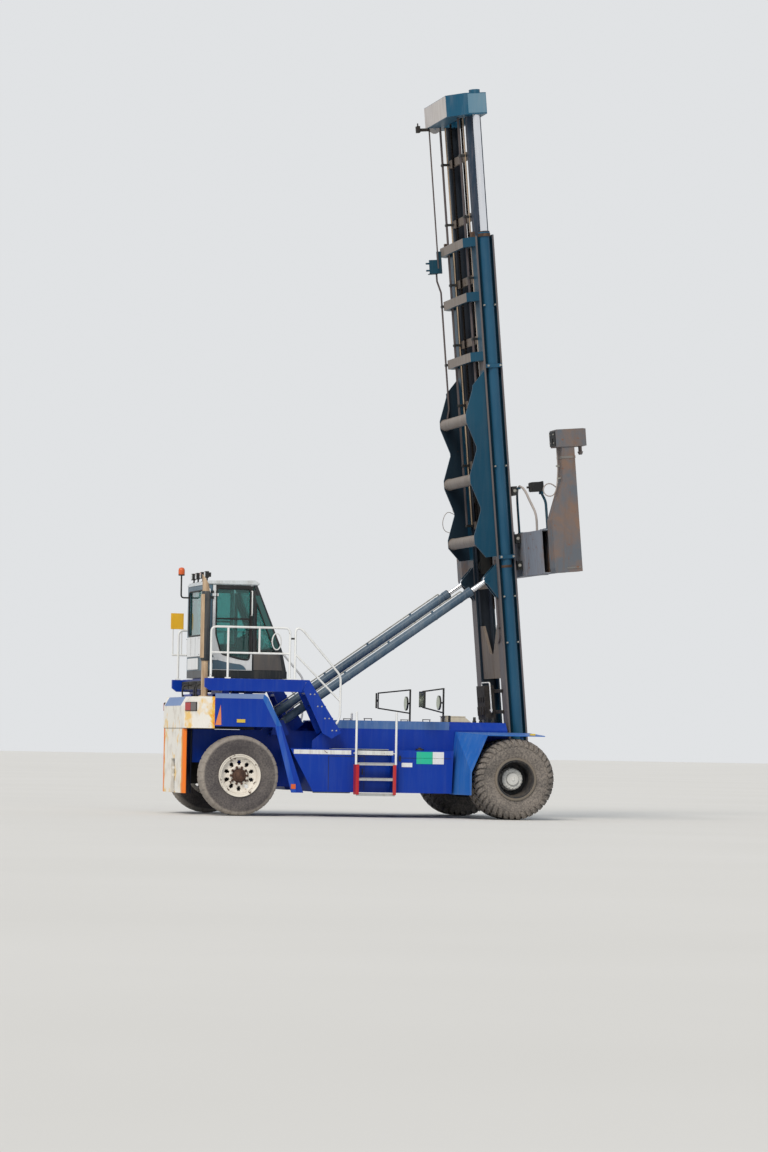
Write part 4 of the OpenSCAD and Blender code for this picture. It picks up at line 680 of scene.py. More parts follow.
steer_half = (steer_high.y - steer_low.y) / 2
centre = Vector((steer_x, (steer_low.y + steer_high.y) / 2, steer_radius))
dish = Vector((steer_x, steer_high.y - 0.09, steer_radius))
knuckle_end = 1.21 - dish.y
hand_holes, per_hole = 10, 12
rings = hand_holes * per_hole
# Which steps of each band of the disc, counted from its rim, lie in a hand hole
open_steps = {2: range(4, 8), 3: range(3, 9), 4: range(4, 8)}
for _, word, flip in sides:
    body = f"steer_wheel_{word}"
    shape = bmesh.new()
    tyre(shape, centre, steer_half, steer_radius, 27, 0.005, groove=0.012, Radius=steer_radius - 0.0034,
         Width=0.118, Depth=0.022, Slant=0.01, Drop=0.085, Rubber=worn_rubber)
    worn = piece(f"worn_steer_tyre_{word}", shape, worn_rubber, body, place=flip)
    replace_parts(worn, f"steer_tyre_{word}")
    shape = bmesh.new()
    lathe(shape, [(0.304, -steer_half + 0.012), (0.346, -steer_half + 0.008), (0.35, -steer_half + 0.02),
                  (0.306, -steer_half + 0.03), (0.305, steer_half - 0.04), (0.342, steer_half - 0.03),
                  (0.35, steer_half - 0.018), (0.344, steer_half - 0.006), (0.33, steer_half - 0.01),
                  (0.322, steer_half - 0.022), (0.306, steer_half - 0.02), (0.296, steer_half - 0.035),
                  (0.288, steer_half - 0.06), (0.286, -steer_half + 0.02)], centre, steps=96)
    rim = piece(f"steer_rim_barrel_{word}", shape, rusty_white, body, edge=0.002,
                place=flip)
    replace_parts(rim, f"steer_rim_{word}")
    # Pressed disc: its rounded triangular hand holes are left open between the spokes
    shape = bmesh.new()
    for r, y in ((0.291, 0.03), (0.27, 0.006), (0.25, 0.0), (0.228, -0.004), (0.2, -0.004),
                 (0.172, 0.004), (0.15, 0.012), (0.112, 0.014)):
        for step in range(rings):
            angle = 2 * math.pi * step / rings
            shape.verts.new(dish + Vector((r * math.cos(angle), y, r * math.sin(angle))))
    shape.verts.ensure_lookup_table()
    for band in range(7):
        for step in range(rings):
            if step % per_hole not in open_steps.get(band, ()):
                here, after = band * rings + step, band * rings + (step + 1) % rings
                corners = (here, after, after + rings, here + rings)
                shape.faces.new([shape.verts[i] for i in corners])
    disc = piece(f"pressed_disc_{word}", shape, rusty_white, body, place=flip)
    wall = disc.modifiers.new("plate", "SOLIDIFY")
    wall.thickness = 0.012
    wall.offset = 0
    disc.data.shade_smooth()
    shape = bmesh.new()
    lathe(shape, [(0.0605, knuckle_end), (0.118, knuckle_end), (0.118, 0.02), (0.102, 0.026),
                  (0.095, 0.05), (0.078, 0.056), (0.0605, 0.056)], dish, steps=48)
    lathe(shape, [(0.0005, 0.05), (0.07, 0.05), (0.068, 0.07), (0.05, 0.078), (0.0005, 0.08)], dish,
          steps=48)
    grow(shape, nuts, [Matrix.Translation(dish + Vector((0, 0.03, 0)))], Count=hand_holes, Circle=0.136,
         Nut=0.016, Height=0.026, Steel=brown_iron)
    piece(f"steer_hub_{word}", shape, brown_iron, body, edge=0.0015, place=flip)

# Tanks and deck trim
# The tank doubles as a step: a white line and a pale worn edge mark it. Flush latches hold its
# doors. The deck's folded upper edge catches the sky, and a painted highlight stands for it.

tank_side, tank_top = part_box("side_tanks")[1].yz
deck_side, deck_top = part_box("raised_deck")[1].yz
white_trim = enamel("white_trim_enamel", "#e8eaea", "#d5d7d6", dusty=0.45, chipped=0.75, gloss=0.45)
worn_ledge = enamel("worn_grey_ledge", "#9aa7b0", "#b9bfbd", dusty=0.6, chipped=0.3, gloss=0.55)
deck_highlight_paint = enamel("faded_deck_edge", "#42669f", "#5f83b5", dusty=0.3, chipped=0.1, dust="#93a2b8")
tank_line = boxes(((-3.60, tank_side, 1.025), (-2.64, tank_side + 0.002, 1.095)),
                  ((-2.53, tank_side, 1.025), (-1.93, tank_side + 0.002, 1.095)))
piece("white_tank_line", tank_line, white_trim, place=front_end)
step_ledge = boxes(((-2.95, deck_side + 0.0005, tank_top + 0.0005),
                    (-2.0, tank_side - 0.02, tank_top + 0.012)))
piece("worn_step_ledge", step_ledge, worn_ledge, edge=0.004, place=front_end)
# A pale band along the deck's upper edge: a painted highlight
deck_highlight_outline = [(-2.90, deck_top - 0.135), (-0.92, deck_top - 0.135), (-0.92, deck_top - 0.002),
             (-2.86, deck_top - 0.002)]
piece("deck_upper_edges", plates(deck_highlight_outline, deck_side + 0.0003, deck_side + 0.0013), deck_highlight_paint,
      place=front_end)

# Door seams and latches, by x and z from and to, and how far they stand out
seams = [((x0, tank_side, z0), (x1, tank_side + proud, z1)) for x0, x1, z0, z1, proud in (
    (-3.02, -3.012, 0.44, 1.0, 0.003), (-2.42, -2.412, 0.44, 1.0, 0.003),
    (-3.02, -2.412, 0.992, 1.0, 0.003), (-1.9, -0.95, 0.98, 0.987, 0.003),
    (-2.46, -2.44, 0.7, 0.80, 0.012), (-1.83, -1.80, 0.93, 1.02, 0.014))]
piece("tank_door_seams", boxes(*seams), black_plastic, edge=0.002, place=front_end)


def stub(shape, spot, radius, length, corners=6, top=None, turn=Matrix.Identity(4)):
    """Adds an upright round or hexagonal stub about a spot; it tapers where a top radius is given."""
    bmesh.ops.create_cone(shape, cap_ends=True, segments=corners, radius1=radius, radius2=top or radius,
                          depth=length, matrix=Matrix.Translation(spot) @ turn)


shape = bmesh.new()
for y in (-1.32, 1.32):
    stub(shape, (-1.45, y, tank_top + 0.016), 0.07, 0.03, 32, top=0.066)
    stub(shape, (-1.45, y, tank_top + 0.04), 0.03, 0.02)
piece("filler_caps", shape, black_plastic, edge=0.004, place=front_end)

# Blank number plates: screwed aluminium sheets, one half green and one half white, and a small one
plate_green = enamel("green_plate_enamel", "#27b894", "#35c6a2", dusty=0.15, chipped=0.05, gloss=0.4)
plate_white = enamel("white_plate_enamel", "#eceeee", "#dfe2e2", dusty=0.15, chipped=0.05, gloss=0.4)
for name, finish, x0, x1, z0, z1 in (
    ("green_plate", plate_green, -1.535, -1.262, 0.89, 1.09),
    ("white_plate", plate_white, -1.26, -1.07, 0.89, 1.09),
    ("small_plate", plate_white, -1.785, -1.605, 0.835, 0.905),
):
    sheet = boxes(((x0, -tank_side - 0.003, z0), (x1, -tank_side, z1)), both=False)
    piece(name, sheet, finish, edge=0.0008, place=front_end)

# Engine cover seams and lift handles over the deck
shape = bmesh.new()
for x in (-2.55, -1.6, -0.7):
    box(shape, (x, -1.04, deck_top), (x + 0.008, 1.04, deck_top + 0.004))
for x in (-2.2, -1.2):
    for y in (-0.75, 0.75):
        box(shape, (x - 0.07, y - 0.012, deck_top + 0.028), (x + 0.07, y + 0.012, deck_top + 0.04))
        for end in (x - 0.065, x + 0.055):
            box(shape, (end, y - 0.01, deck_top), (end + 0.01, y + 0.01, deck_top + 0.03))
piece("engine_cover_seams", shape, black_plastic, edge=0.001, place=front_end)

# Platform
# A steel deck on folded side channels. Soles have worn its raised tread plate pale, and oil and
# hydraulic lines leave through a black louvred panel at its rear end.

rear_end = Matrix.Translation((steer_x, 0, 0))
platform_top = 2.23


def worn_tread_plate():
    """Raised-pattern steel plate, painted and worn: lozenges drawn 90 mm apart, twice as coarse as
    they are so that they show, and brighter where soles rub."""
    made, tree, place = new_material("worn_tread_plate")
    ridges = []
    for turn in (math.pi / 4, -math.pi / 4):
        turned = node(tree, "Mapping", {"Vector": place, "Rotation": (0, 0, turn)})
        wave = node(tree, "TexWave", {"Vector": turned, "Scale": 3.5}, bands_direction="X")
        ridges.append(wave.outputs["Fac"])
    lozenge = node(tree, "Math", {0: ridges[0], 1: ridges[1]}, operation="MULTIPLY")
    lozenge = node(tree, "MapRange", {"Value": lozenge, "From Min": 0.45, "From Max": 0.6})
    grime = node(tree, "TexNoise", {"Vector": place, "Scale": 3.0, "Detail": 8.0})
    grime = node(tree, "MapRange", {"Value": grime, "From Min": 0.35, "From Max": 0.7})
    tint = node(tree, "Mix", {0: grime, 6: linear("#41536b"), 7: linear("#6f6a62")}, data_type="RGBA")
    tint = node(tree, "Mix", {0: lozenge, 6: tint, 7: linear("#8f98a2")}, data_type="RGBA")
    return finished(made, {"Base Color": tint, "Roughness": 0.6}, lozenge, 0.8, 0.003)


shape = boxes(((-0.42, 0.84, platform_top), (0.93, 1.385, platform_top + 0.004)))
box(shape, (0.905, -0.83, platform_top), (0.94, 0.83, platform_top + 0.004))
piece("platform_tread_plates", shape, worn_tread_plate(), place=rear_end)


def slat_tree():
    """Pressed louvre slats, one above the other, each a strip that leans out from the plate."""
    tree, given = new_tree("louvre_slats", Count="Int", Step="Float", Length="Float", Lean="Float",
                           Paint="Material")
    size = node(tree, "CombineXYZ", {"X": given["Length"], "Y": 0.003, "Z": 0.04})
    strip = node(tree, "GeometryNodeMeshCube", {"Size": size})
    lean = node(tree, "CombineXYZ", {"X": given["Lean"]})
    leaning = node(tree, "GeometryNodeTransform", {"Geometry": strip, "Rotation": lean})
    step = node(tree, "CombineXYZ", {"Z": given["Step"]})
    line = node(tree, "GeometryNodeMeshLine", {"Count": given["Count"], "Offset": step})
    row = node(tree, "GeometryNodeInstanceOnPoints", {"Points": line, "Instance": leaning})
    return ended(tree, row, given["Paint"])


# Black louvred panel across the platform's rear end
slats = slat_tree()
louvres = (-1.0, -0.35, 0.35, 1.0)
shape = boxes(((-0.44, -1.37, 2.06), (-0.425, 1.37, 2.2)), both=False)
for y in louvres:
    box(shape, (-0.45, y - 0.27, 2.075), (-0.438, y + 0.27, 2.185))
across = Matrix.Rotation(-math.pi / 2, 4, "Z")
grow(shape, slats, [Matrix.Translation((-0.452, y, 2.09)) @ across for y in louvres], Count=4, Step=0.026,
     Length=0.46, Lean=0.6, Paint=black_plastic)
piece("platform_rear_panel", shape, black_plastic, place=rear_end)

# Stairs
# Four folded treads between two stringers on either side. Raised teeth grip the sole, and two bolts
# hold each end of a tread.


def bolt_tree():
    """Hexagon bolts on washers in a straight row, their heads facing along Y."""
    tree, given = new_tree("row_of_bolts", Count="Int", Step="Vector", Head="Float", Steel="Material")
    wide = node(tree, "Math", {0: given["Head"], 1: 1.4}, operation="MULTIPLY")
    thin = node(tree, "Math", {0: given["Head"], 1: 0.3}, operation="MULTIPLY")
    joined = node(tree, "GeometryNodeJoinGeometry")
    for corners, radius, depth in ((6, given["Head"], given["Head"]), (12, wide, thin)):
        part = node(tree, "GeometryNodeMeshCylinder", {"Vertices": corners, "Radius": radius,
                                                       "Depth": depth})
        tree.links.new(part.outputs["Mesh"], joined.inputs[0])
    upright = node(tree, "GeometryNodeTransform", {"Geometry": joined, "Rotation": (math.pi / 2, 0, 0)})
    line = node(tree, "GeometryNodeMeshLine", {"Count": given["Count"], "Offset": given["Step"]})
    row = node(tree, "GeometryNodeInstanceOnPoints", {"Points": line, "Instance": upright})
    return ended(tree, row, given["Steel"])


def teeth_tree():
    """Raised teeth on a tread: a grid of small blunt cones."""
    tree, given = new_tree("tread_teeth", Across="Int", Along="Int", Width="Float", Length="Float",
                           Steel="Material")
    tooth = node(tree, "GeometryNodeMeshCone", {"Vertices": 6, "Radius Top": 0.004,
                                                "Radius Bottom": 0.009, "Depth": 0.008})
    grid = node(tree, "GeometryNodeMeshGrid", {"Size X": given["Width"], "Size Y": given["Length"],
                                               "Vertices X": given["Across"],
                                               "Vertices Y": given["Along"]})
    field = node(tree, "GeometryNodeInstanceOnPoints", {"Points": grid, "Instance": tooth})
    return ended(tree, field, given["Steel"])


bolts = bolt_tree()
teeth = teeth_tree()
step_grey = enamel("worn_step_grey", "#a9adae", "#c3c3be", dusty=0.5, chipped=0.4, gloss=0.5)
tread_run, tread_rise, stringer_y = 0.125, 0.195, 1.436
treads = [(1.21 + tread_run * i, platform_top - 0.22 - tread_rise * i) for i in range(4)]
shape = bmesh.new()
for (x, z), inner in zip(treads, (0.985, 0.985, 0.985, 1.2)):
    for side in (-1, 1):
        box(shape, (x - 0.108, side * inner, z), (x + 0.088, side * stringer_y, z + 0.003))
places = [Matrix.Translation((x - 0.01, y, z + 0.003)) for x, z in treads[:3] for y in (-1.21, 1.21)]
grow(shape, teeth, places, Across=6, Along=14, Width=0.15, Length=0.4, Steel=step_grey)
piece("stair_tread_plates", shape, step_grey, place=rear_end)
shape = bmesh.new()
places = [Matrix.Translation((x - 0.05, y, z - 0.012)) for x, z in treads for y in (-1.453, 1.453)]
grow(shape, bolts, places, Count=2, Step=(0.07, 0, 0), Head=0.009, Steel=step_grey)
piece("stair_bolts", shape, step_grey, place=rear_end)

# Handrails
# Steel tube bent cold over a former, welded at the crossings and sprayed white. A bolted foot plate
# stands under each post.


def rounded(points, bend, steps=5):
    """The same line of points with each corner bent round."""
    points = [Vector(point) for point in points]
    line = [points[0]]
    for before, corner, after in zip(points, points[1:], points[2:]):
        back, ahead = before - corner, after - corner
        start = corner + back.normalized() * min(bend, back.length / 2)
        end = corner + ahead.normalized() * min(bend, ahead.length / 2)
        for step in range(steps + 1):
            t = step / steps
            line.append(start * (1 - t) ** 2 + corner * 2 * t * (1 - t) + end * t * t)
    return line + [points[-1]]


def sweep(shape, points, radius, sides=12, closed=False):
    """Adds a round bar along a line of points, with flat ends, or joined end to end."""
    points = [Vector(point) for point in points]
    rings = []
    across = None
    for i, spot in enumerate(points):
        before = points[i - 1] if closed or i else spot
        after = points[(i + 1) % len(points)] if closed or i + 1 < len(points) else spot
        ahead = (after - before).normalized()
        across = across or ahead.orthogonal()
        across = (across - ahead * across.dot(ahead)).normalized()
        other = ahead.cross(across)
        rings.append([shape.verts.new(spot + radius * (math.cos(turn) * across + math.sin(turn) * other))
                      for turn in (2 * math.pi * k / sides for k in range(sides))])
    join(shape, rings, closed)


rail_white = enamel("white_rail_enamel", "#eef0f0", "#dcdedd", dusty=0.3, chipped=0.45, gloss=0.4)
rail_y, rail_low, rail_mid, rail_top = 1.42, platform_top + 0.008, 2.65, 3.07
post, bar = 0.019, 0.017
shape = bmesh.new()
for y in (-rail_y, rail_y):
    for line, radius in (
        ([(-0.5, rail_low), (-0.5, rail_top), (0.81, rail_top), (0.81, rail_low)], post),
        ([(-0.22, rail_low), (-0.22, rail_top)], post),
        ([(0.30, rail_mid), (0.30, rail_top)], bar),
        ([(-0.5, rail_mid), (0.81, rail_mid)], bar),
        ([(0.9, rail_low), (0.9, rail_top), (1.0, rail_top), (1.67, 2.31), (1.67, 1.62), (1.575, 1.475)],
         post),
        ([(0.9, rail_mid), (1.67, 1.89)], bar),
    ):
        sweep(shape, rounded([(x, y, z) for x, z in line], 0.09), radius)
    for x in (-0.5, -0.22, 0.81, 0.9):
        box(shape, (x - 0.045, y - 0.028, platform_top + 0.0005), (x + 0.045, y + 0.028, platform_top + 0.02))
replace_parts(piece("bent_handrails", shape, rail_white, place=rear_end), "handrails")

# Blank yellow sign on two short posts, on the left side only
shape = bmesh.new()
for x in (-0.6, -0.45):
    sweep(shape, [(x, rail_y, rail_mid), (x, rail_y, 3.12)], 0.012)
sweep(shape, [(-0.61, rail_y, rail_mid), (-0.44, rail_y, rail_mid)], 0.014)
piece("sign_posts", shape, rail_white, place=rear_end)
sign_yellow = enamel("yellow_sign_enamel", "#eab42a", "#f2c753", dusty=0.2, chipped=0.1)
sign = boxes(((-0.64, rail_y - 0.015, 3.09), (-0.42, rail_y, 3.36)), both=False)
piece("blank_yellow_sign", sign, sign_yellow, edge=0.004, place=rear_end)

# Gate bar between the two middle posts
latches = boxes(((0.812, rail_y - 0.012, 2.885), (0.898, rail_y + 0.012, 2.915)))
piece("gate_latches", latches, black_plastic, edge=0.004, place=rear_end)

# Boarding ladders
# White grip posts over red stringers and three treads of folded plate, on the side of each tank.

stringer_red = enamel("red_stringer_enamel", "#b3202c", "#c33a3c", dusty=0.25, chipped=0.35, gloss=0.4)
ladder_mid, ladder_half, ladder_y, tread_half_width = -2.255, 0.335, 1.6, 0.329
grip_foot, grip_top = 0.865, 1.715
shape = bmesh.new()
for side in (-1, 1):
    y = side * ladder_y
    for x in (ladder_mid - ladder_half, ladder_mid + ladder_half):
        sweep(shape, [(x, y, grip_foot), (x, y, grip_top)], post)
        sweep(shape, [(x, y, 1.05), (x, side * (tank_side + 0.001), 1.05)], 0.012)
        bmesh.ops.create_uvsphere(shape, u_segments=12, v_segments=8, radius=post - 0.0001,
                                  matrix=Matrix.Translation((x, y, grip_top)))
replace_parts(piece("ladder_grip_posts", shape, rail_white, place=front_end),
            "boarding_ladders")
stringers = []
for way in (-1, 1):
    x = ladder_mid + way * ladder_half
    stringers.append(((x - 0.005, tank_side + 0.001, 0.375), (x + 0.005, ladder_y + 0.02, 0.868)))
    stringers.append(((x, ladder_y + 0.012, 0.375), (x - way * 0.05, ladder_y + 0.02, 0.868)))
piece("ladder_stringers", boxes(*stringers), stringer_red, edge=0.002, place=front_end)
rungs, places = [], []
left, right = ladder_mid - tread_half_width, ladder_mid + tread_half_width
for z in (0.39, 0.64, 0.89):
    rungs.append(((left, tank_side + 0.012, z - 0.004), (right, ladder_y + 0.012, z)))
    rungs.append(((left, ladder_y + 0.006, z - 0.035), (right, ladder_y + 0.011, z)))
    places += [Matrix.Translation((ladder_mid, side * (tank_side + 0.088), z + 0.003)) for side in (-1, 1)]
shape = boxes(*rungs)
grow(shape, teeth, places, Across=22, Along=5, Width=0.6, Length=0.11, Steel=step_grey)
piece("ladder_treads", shape, step_grey, place=front_end)

# Cleaner box and fender lamps
# A painted sheet steel box stands at the deck's front corner, its lid held by a rubber strap. Small
# side lamps are screwed on top of the front fenders.

beige_box = enamel("beige_box_enamel", "#cfc5ad", "#e2dac6", dusty=0.3, chipped=0.2, gloss=0.5)
lid = deck_top + 0.085
shape = plates([(-0.95, deck_top), (-0.95, lid), (-0.61, lid), (-0.5, deck_top)], -1.03, -0.72, both=False)
box(shape, (-0.965, -1.035, lid), (-0.6, -0.715, lid + 0.015))
piece("cleaner_box", shape, beige_box, edge=0.006, place=front_end)
shape = boxes(((-0.9, -1.042, deck_top + 0.005), (-0.86, -1.0355, lid + 0.015)),
              ((-0.9, -1.042, lid + 0.0155), (-0.86, -0.71, lid + 0.021)), both=False)
# Hose unions and a valve block ahead of the box
for x, y, size in ((-0.40, -0.85, 0.05), (-0.28, -0.8, 0.04), (-0.18, -0.86, 0.045), (-0.06, -0.78, 0.05)):
    stub(shape, (x, y, deck_top + 0.0155), size * 0.7, 0.03)
    stub(shape, (x, y, deck_top + 0.06), size * 0.5, 0.06, 16, top=size * 0.45)
piece("box_strap_and_unions", shape, black_plastic, edge=0.002, place=front_end)
fender_side, fender_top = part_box("front_fenders")[1].yz
lamps = boxes(((0.24, fender_side - 0.09, fender_top - 0.055),
               (0.33, fender_side - 0.03, fender_top - 0.012)))
piece("front_marker_lamps", lamps, yellow_lens, edge=0.008, place=front_end)

# Exhaust
# Aluminised pipe turned tan by heat, a dark steel muffler with a rolled seam and two straps, and a
# tail pipe with a slanting cut.


def heat_tanned_steel():
    """Aluminised steel baked by the exhaust: tan and brown, a little metallic, and streaked by rain
    in runs 50 mm wide and 0.4 m long."""
    made, tree, place = new_material("heat_tanned_steel")
    stretch = node(tree, "Mapping", {"Vector": place, "Scale": (20.0, 20.0, 2.5)})
    streak = node(tree, "TexNoise", {"Vector": stretch, "Scale": 1.0, "Detail": 8.0, "Roughness": 0.6})
    streak = node(tree, "MapRange", {"Value": streak, "From Min": 0.35, "From Max": 0.7})
    tint = node(tree, "Mix", {0: streak, 6: linear("#cdb597"), 7: linear("#a08468")}, data_type="RGBA")
    return finished(made, {"Base Color": tint, "Roughness": 0.5, "Metallic": 0.35}, streak, 0.2)


tanned_steel = heat_tanned_steel()
dark_steel = enamel("heat_proof_dark_enamel", "#33383d", "#4b5157", dusty=0.35, chipped=0.35, gloss=0.4,
                    dust="#8f8475")
on_end = Matrix.Rotation(math.pi / 2, 4, "X")
pipe_x, pipe_y = steer_x - 0.555, -1.19
stack = Matrix.Translation((pipe_x, pipe_y, 0)) @ on_end
weight_top = weight_high.z
shape = bmesh.new()
lathe(shape, [(0.05, weight_top + 0.001), (0.092, weight_top + 0.001), (0.092, weight_top + 0.014),
              (0.06, weight_top + 0.018), (0.0575, weight_top + 0.03), (0.0575, 2.5), (0.066, 2.51),
              (0.05, 2.52)], steps=32)
piece("exhaust_riser", shape, tanned_steel, place=stack)
shape = bmesh.new()
lathe(shape, [(0.04, 2.505), (0.06, 2.505), (0.074, 2.535), (0.075, 2.6), (0.078, 2.603),
              (0.078, 2.635), (0.075, 2.638), (0.075, 3.03), (0.0775, 3.033), (0.0775, 3.06),
              (0.075, 3.063), (0.075, 3.5), (0.078, 3.503), (0.078, 3.535), (0.075, 3.538),
              (0.075, 3.61), (0.06, 3.65), (0.04, 3.65)], steps=48)
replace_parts(piece("exhaust_muffler", shape, dark_steel, place=stack), "exhaust")


def spokes(first, step, count):
    """Directions round the upright axis, from a first angle in steps."""
    return [Vector((math.cos(first + step * k), math.sin(first + step * k), 0)) for k in range(count)]


# Tail pipe: the wall between its outside and its inside, from its foot to its slanting cut
shape = bmesh.new()
foot, tip = Vector((pipe_x, pipe_y, 3.645)), Vector((pipe_x - 0.012, pipe_y, 3.84))
rings = []
for out in spokes(0, math.pi / 16, 32):
    cut = tip - Vector((0, 0, 0.085 * out.x))
    rings.append([shape.verts.new(spot) for spot in (
        foot + out * 0.06, cut + out * 0.056, cut + out * 0.052, foot + out * 0.05 + Vector((0, 0, 0.005)))])
join(shape, rings)
piece("exhaust_tail_pipe", shape, tanned_steel)
# Pale tan shell on the muffler's rear side: a painted highlight that makes its rear third lighter
shape = bmesh.new()
join(shape, [[shape.verts.new(Vector((pipe_x, pipe_y, z)) + out * r)
              for z, r in ((2.56, 0.08), (3.6, 0.08), (3.6, 0.083), (2.56, 0.083))]
             for out in spokes(math.radians(165), math.radians(10), 9)], closed=False)
piece("muffler_heat_shield", shape, tanned_steel)
# Straps tie the muffler to the cab's corner post
straps = []
for z0, z1 in ((2.605, 2.635), (3.505, 3.535)):
    straps += [((-0.565, -1.115, z0), (-0.545, -0.86, z1)), ((-0.565, -0.875, z0), (-0.467, -0.86, z1)),
               ((-0.48, -0.875, z0), (-0.467, -0.801, z1))]
piece("muffler_straps", boxes(*straps, both=False), dark_steel, edge=0.002, place=rear_end)

# Cab
# A welded cab with a thin pale roof, white door frames and dark grey panels, glazed in green-blue
# tinted glass set in black rubber. Its rear wall carries two white covers under the window.

cab_dark = enamel("dark_cab_enamel", "#23282d", "#31383e", dusty=0.3, chipped=0.1, gloss=0.35,
                  dust="#7d766c")
cab_slate = enamel("slate_cab_enamel", "#4a6577", "#5d7888", dusty=0.3, chipped=0.1, gloss=0.35,
                   dust="#8b8377")
cab_taupe = enamel("taupe_cab_enamel", "#545355", "#66625e", dusty=0.3, chipped=0.1, gloss=0.3)
cab_white = enamel("white_cab_enamel", "#e9ecee", "#d8dcdf", dusty=0.25, chipped=0.12, gloss=0.32,
                   dust="#9a9389")
roof_grey = enamel("pale_roof_enamel", "#c9d1d6", "#dde2e4", dusty=0.5, chipped=0.1, gloss=0.4,
                   dust="#8f877b")
cover_white = enamel("white_cover_enamel", "#eceef0", "#dcdfe1", dusty=0.3, chipped=0.15, gloss=0.4,
                     dust="#a49c90")
seal_rubber = moulded_plastic("black_window_rubber", "#101112", "#26272a", rough=0.6)
printed_glass = moulded_lens("printed_glass_edge", "#1f5f5a", "#123c3c")


def tinted_glass():
    """Toughened glass tinted green-blue: clear, glossy, and hazed by a little yard dust."""
    made, tree, place = new_material("tinted_safety_glass")
    haze = node(tree, "TexNoise", {"Vector": place, "Scale": 2.5, "Detail": 7.0, "Roughness": 0.65})
    haze = node(tree, "MapRange", {"Value": haze, "From Min": 0.4, "From Max": 0.85, "To Min": 0.02,
                                   "To Max": 0.15})
    tint = node(tree, "Mix", {0: haze, 6: linear("#74bcb8"), 7: linear("#9dbab5")}, data_type="RGBA")
    return finished(made, {"Base Color": tint, "Roughness": haze, "Transmission Weight": 0.93, "IOR": 1.5})


coat(cab_slate, "cab_rear")
coat(cab_dark, "cab_front", "cab_floor", "cab_quarters")
coat(cab_white, "door_left", "door_right")
coat(roof_grey, "cab_roof")
coat(tinted_glass(), "cab_glass", "door_glass_left", "door_glass_right")

# White covers of the heater and filters on the rear wall, with their seams and screws
wall_x, window = -0.4705, 0.67
covers = boxes(((-0.505, -0.46, 2.60), (wall_x, 0.68, 2.93)), ((-0.5, -0.22, 2.385), (wall_x, 0.62, 2.575)),
               both=False)
piece("rear_wall_covers", covers, cover_white, edge=0.012, place=rear_end)
facing_x = Matrix.Rotation(math.pi / 2, 4, "Y")
shape = boxes(*(((-0.507, y - 0.002, 2.615), (-0.504, y + 0.002, 2.915)) for y in (-0.08, 0.3)), both=False)
for y in (-0.42, 0.64):
    for z in (2.63, 2.9):
        stub(shape, (-0.508, y, z), 0.008, 0.008, turn=facing_x)
# Rubber frame of the rear window
corners = [(0.0, 2.95), (window, 2.95), (window, 3.69), (-window, 3.69), (-window, 2.95), (-0.01, 2.95)]
sweep(shape, rounded([(wall_x, y, z) for y, z in corners], 0.07), 0.012, sides=8, closed=True)
piece("rear_wall_seams", shape, seal_rubber, place=rear_end)

# Roof: stiffening ribs, a hatch over the seat, and a pressed gutter along the sides
ribs = [((-0.42, y - 0.02, 3.845), (-0.12, y + 0.02, 3.852)) for y in (-0.5, -0.25, 0.0, 0.25, 0.5)]
hatch = ((-0.05, -0.36, 3.846), (0.3, 0.36, 3.868))
piece("roof_ribs_and_hatch", boxes(*ribs, hatch, both=False), roof_grey, edge=0.004,
      place=rear_end)
gutters = boxes(((-0.475, 0.8085, 3.792), (0.40, 0.822, 3.806)))
piece("roof_gutters", gutters, roof_grey, edge=0.003, place=rear_end)

# Slate corner panel and a white grip behind each door
cab_side = 0.8005
corner = boxes(((-0.469, cab_side, 2.38), (-0.372, 0.803, 3.77)))
piece("corner_panels", corner, cab_slate, edge=0.001, place=rear_end)
shape = bmesh.new()
for side in (-1, 1):
    grip = [(0.8035, 3.05), (0.85, 3.05), (0.85, 3.7), (0.8035, 3.7)]
    sweep(shape, rounded([(-0.425, side * y, z) for y, z in grip], 0.04), 0.012)
    # Oval grab ring on the leaning front post
    turns = [2 * math.pi * k / 32 for k in range(32)]
    ring = [(0.70 + 0.075 * math.cos(a), side * 0.90, 2.86 + 0.135 * math.sin(a)) for a in turns]
    sweep(shape, ring, 0.011, sides=8, closed=True)
    for x, z in ((0.628, 2.86), (0.70, 2.725)):
        sweep(shape, [(x, side * 0.90, z), (x, side * cab_side, z)], 0.01, sides=8)
piece("cab_grips", shape, rail_white, place=rear_end)

# Front quarter: the printed glass edge ahead of its window, a lower panel, and the window's rubber
glass_edge = [(0.372, 3.515), (0.345, 3.61), (0.42, 3.61), (0.772, 2.725), (0.682, 2.725)]
piece("quarter_glass_edges", plates(glass_edge, 0.8004, 0.8034), printed_glass,
      place=rear_end)
panel = [(0.335, 2.385), (0.82, 2.385), (0.772, 2.685), (0.335, 2.685)]
piece("quarter_lower_panels", plates(panel, cab_side, 0.806), cab_taupe, edge=0.003,
      place=rear_end)
shape = bmesh.new()
corners = [(0.6, 2.705), (0.37, 2.705), (0.37, 3.5), (0.68, 2.72), (0.61, 2.705)]
for y in (-0.8045, 0.8045):
    sweep(shape, rounded([(x, y, z) for x, z in corners], 0.05), 0.011, sides=8, closed=True)
# Wiper on the windscreen: arm and blade
lean = Vector((0.38 - 0.81, 0, 3.78 - 2.73)).normalized()
root = Vector((0.80, 0, 2.80)) + Vector((lean.z, 0, -lean.x)) * 0.03
reach = root + Vector((0, 0.28, 0))
sweep(shape, [root, reach + lean * 0.5], 0.008, sides=8)
sweep(shape, [reach + lean * 0.18, reach + lean * 0.82], 0.009, sides=8)
piece("quarter_seals_and_wiper", shape, seal_rubber, place=rear_end)

# Doors
# Each door is a welded frame, glazed nearly to the floor, with a pressed slate panel below its curved
# white sill. Rubber seals the glass, and a white grip stands beside the latch.

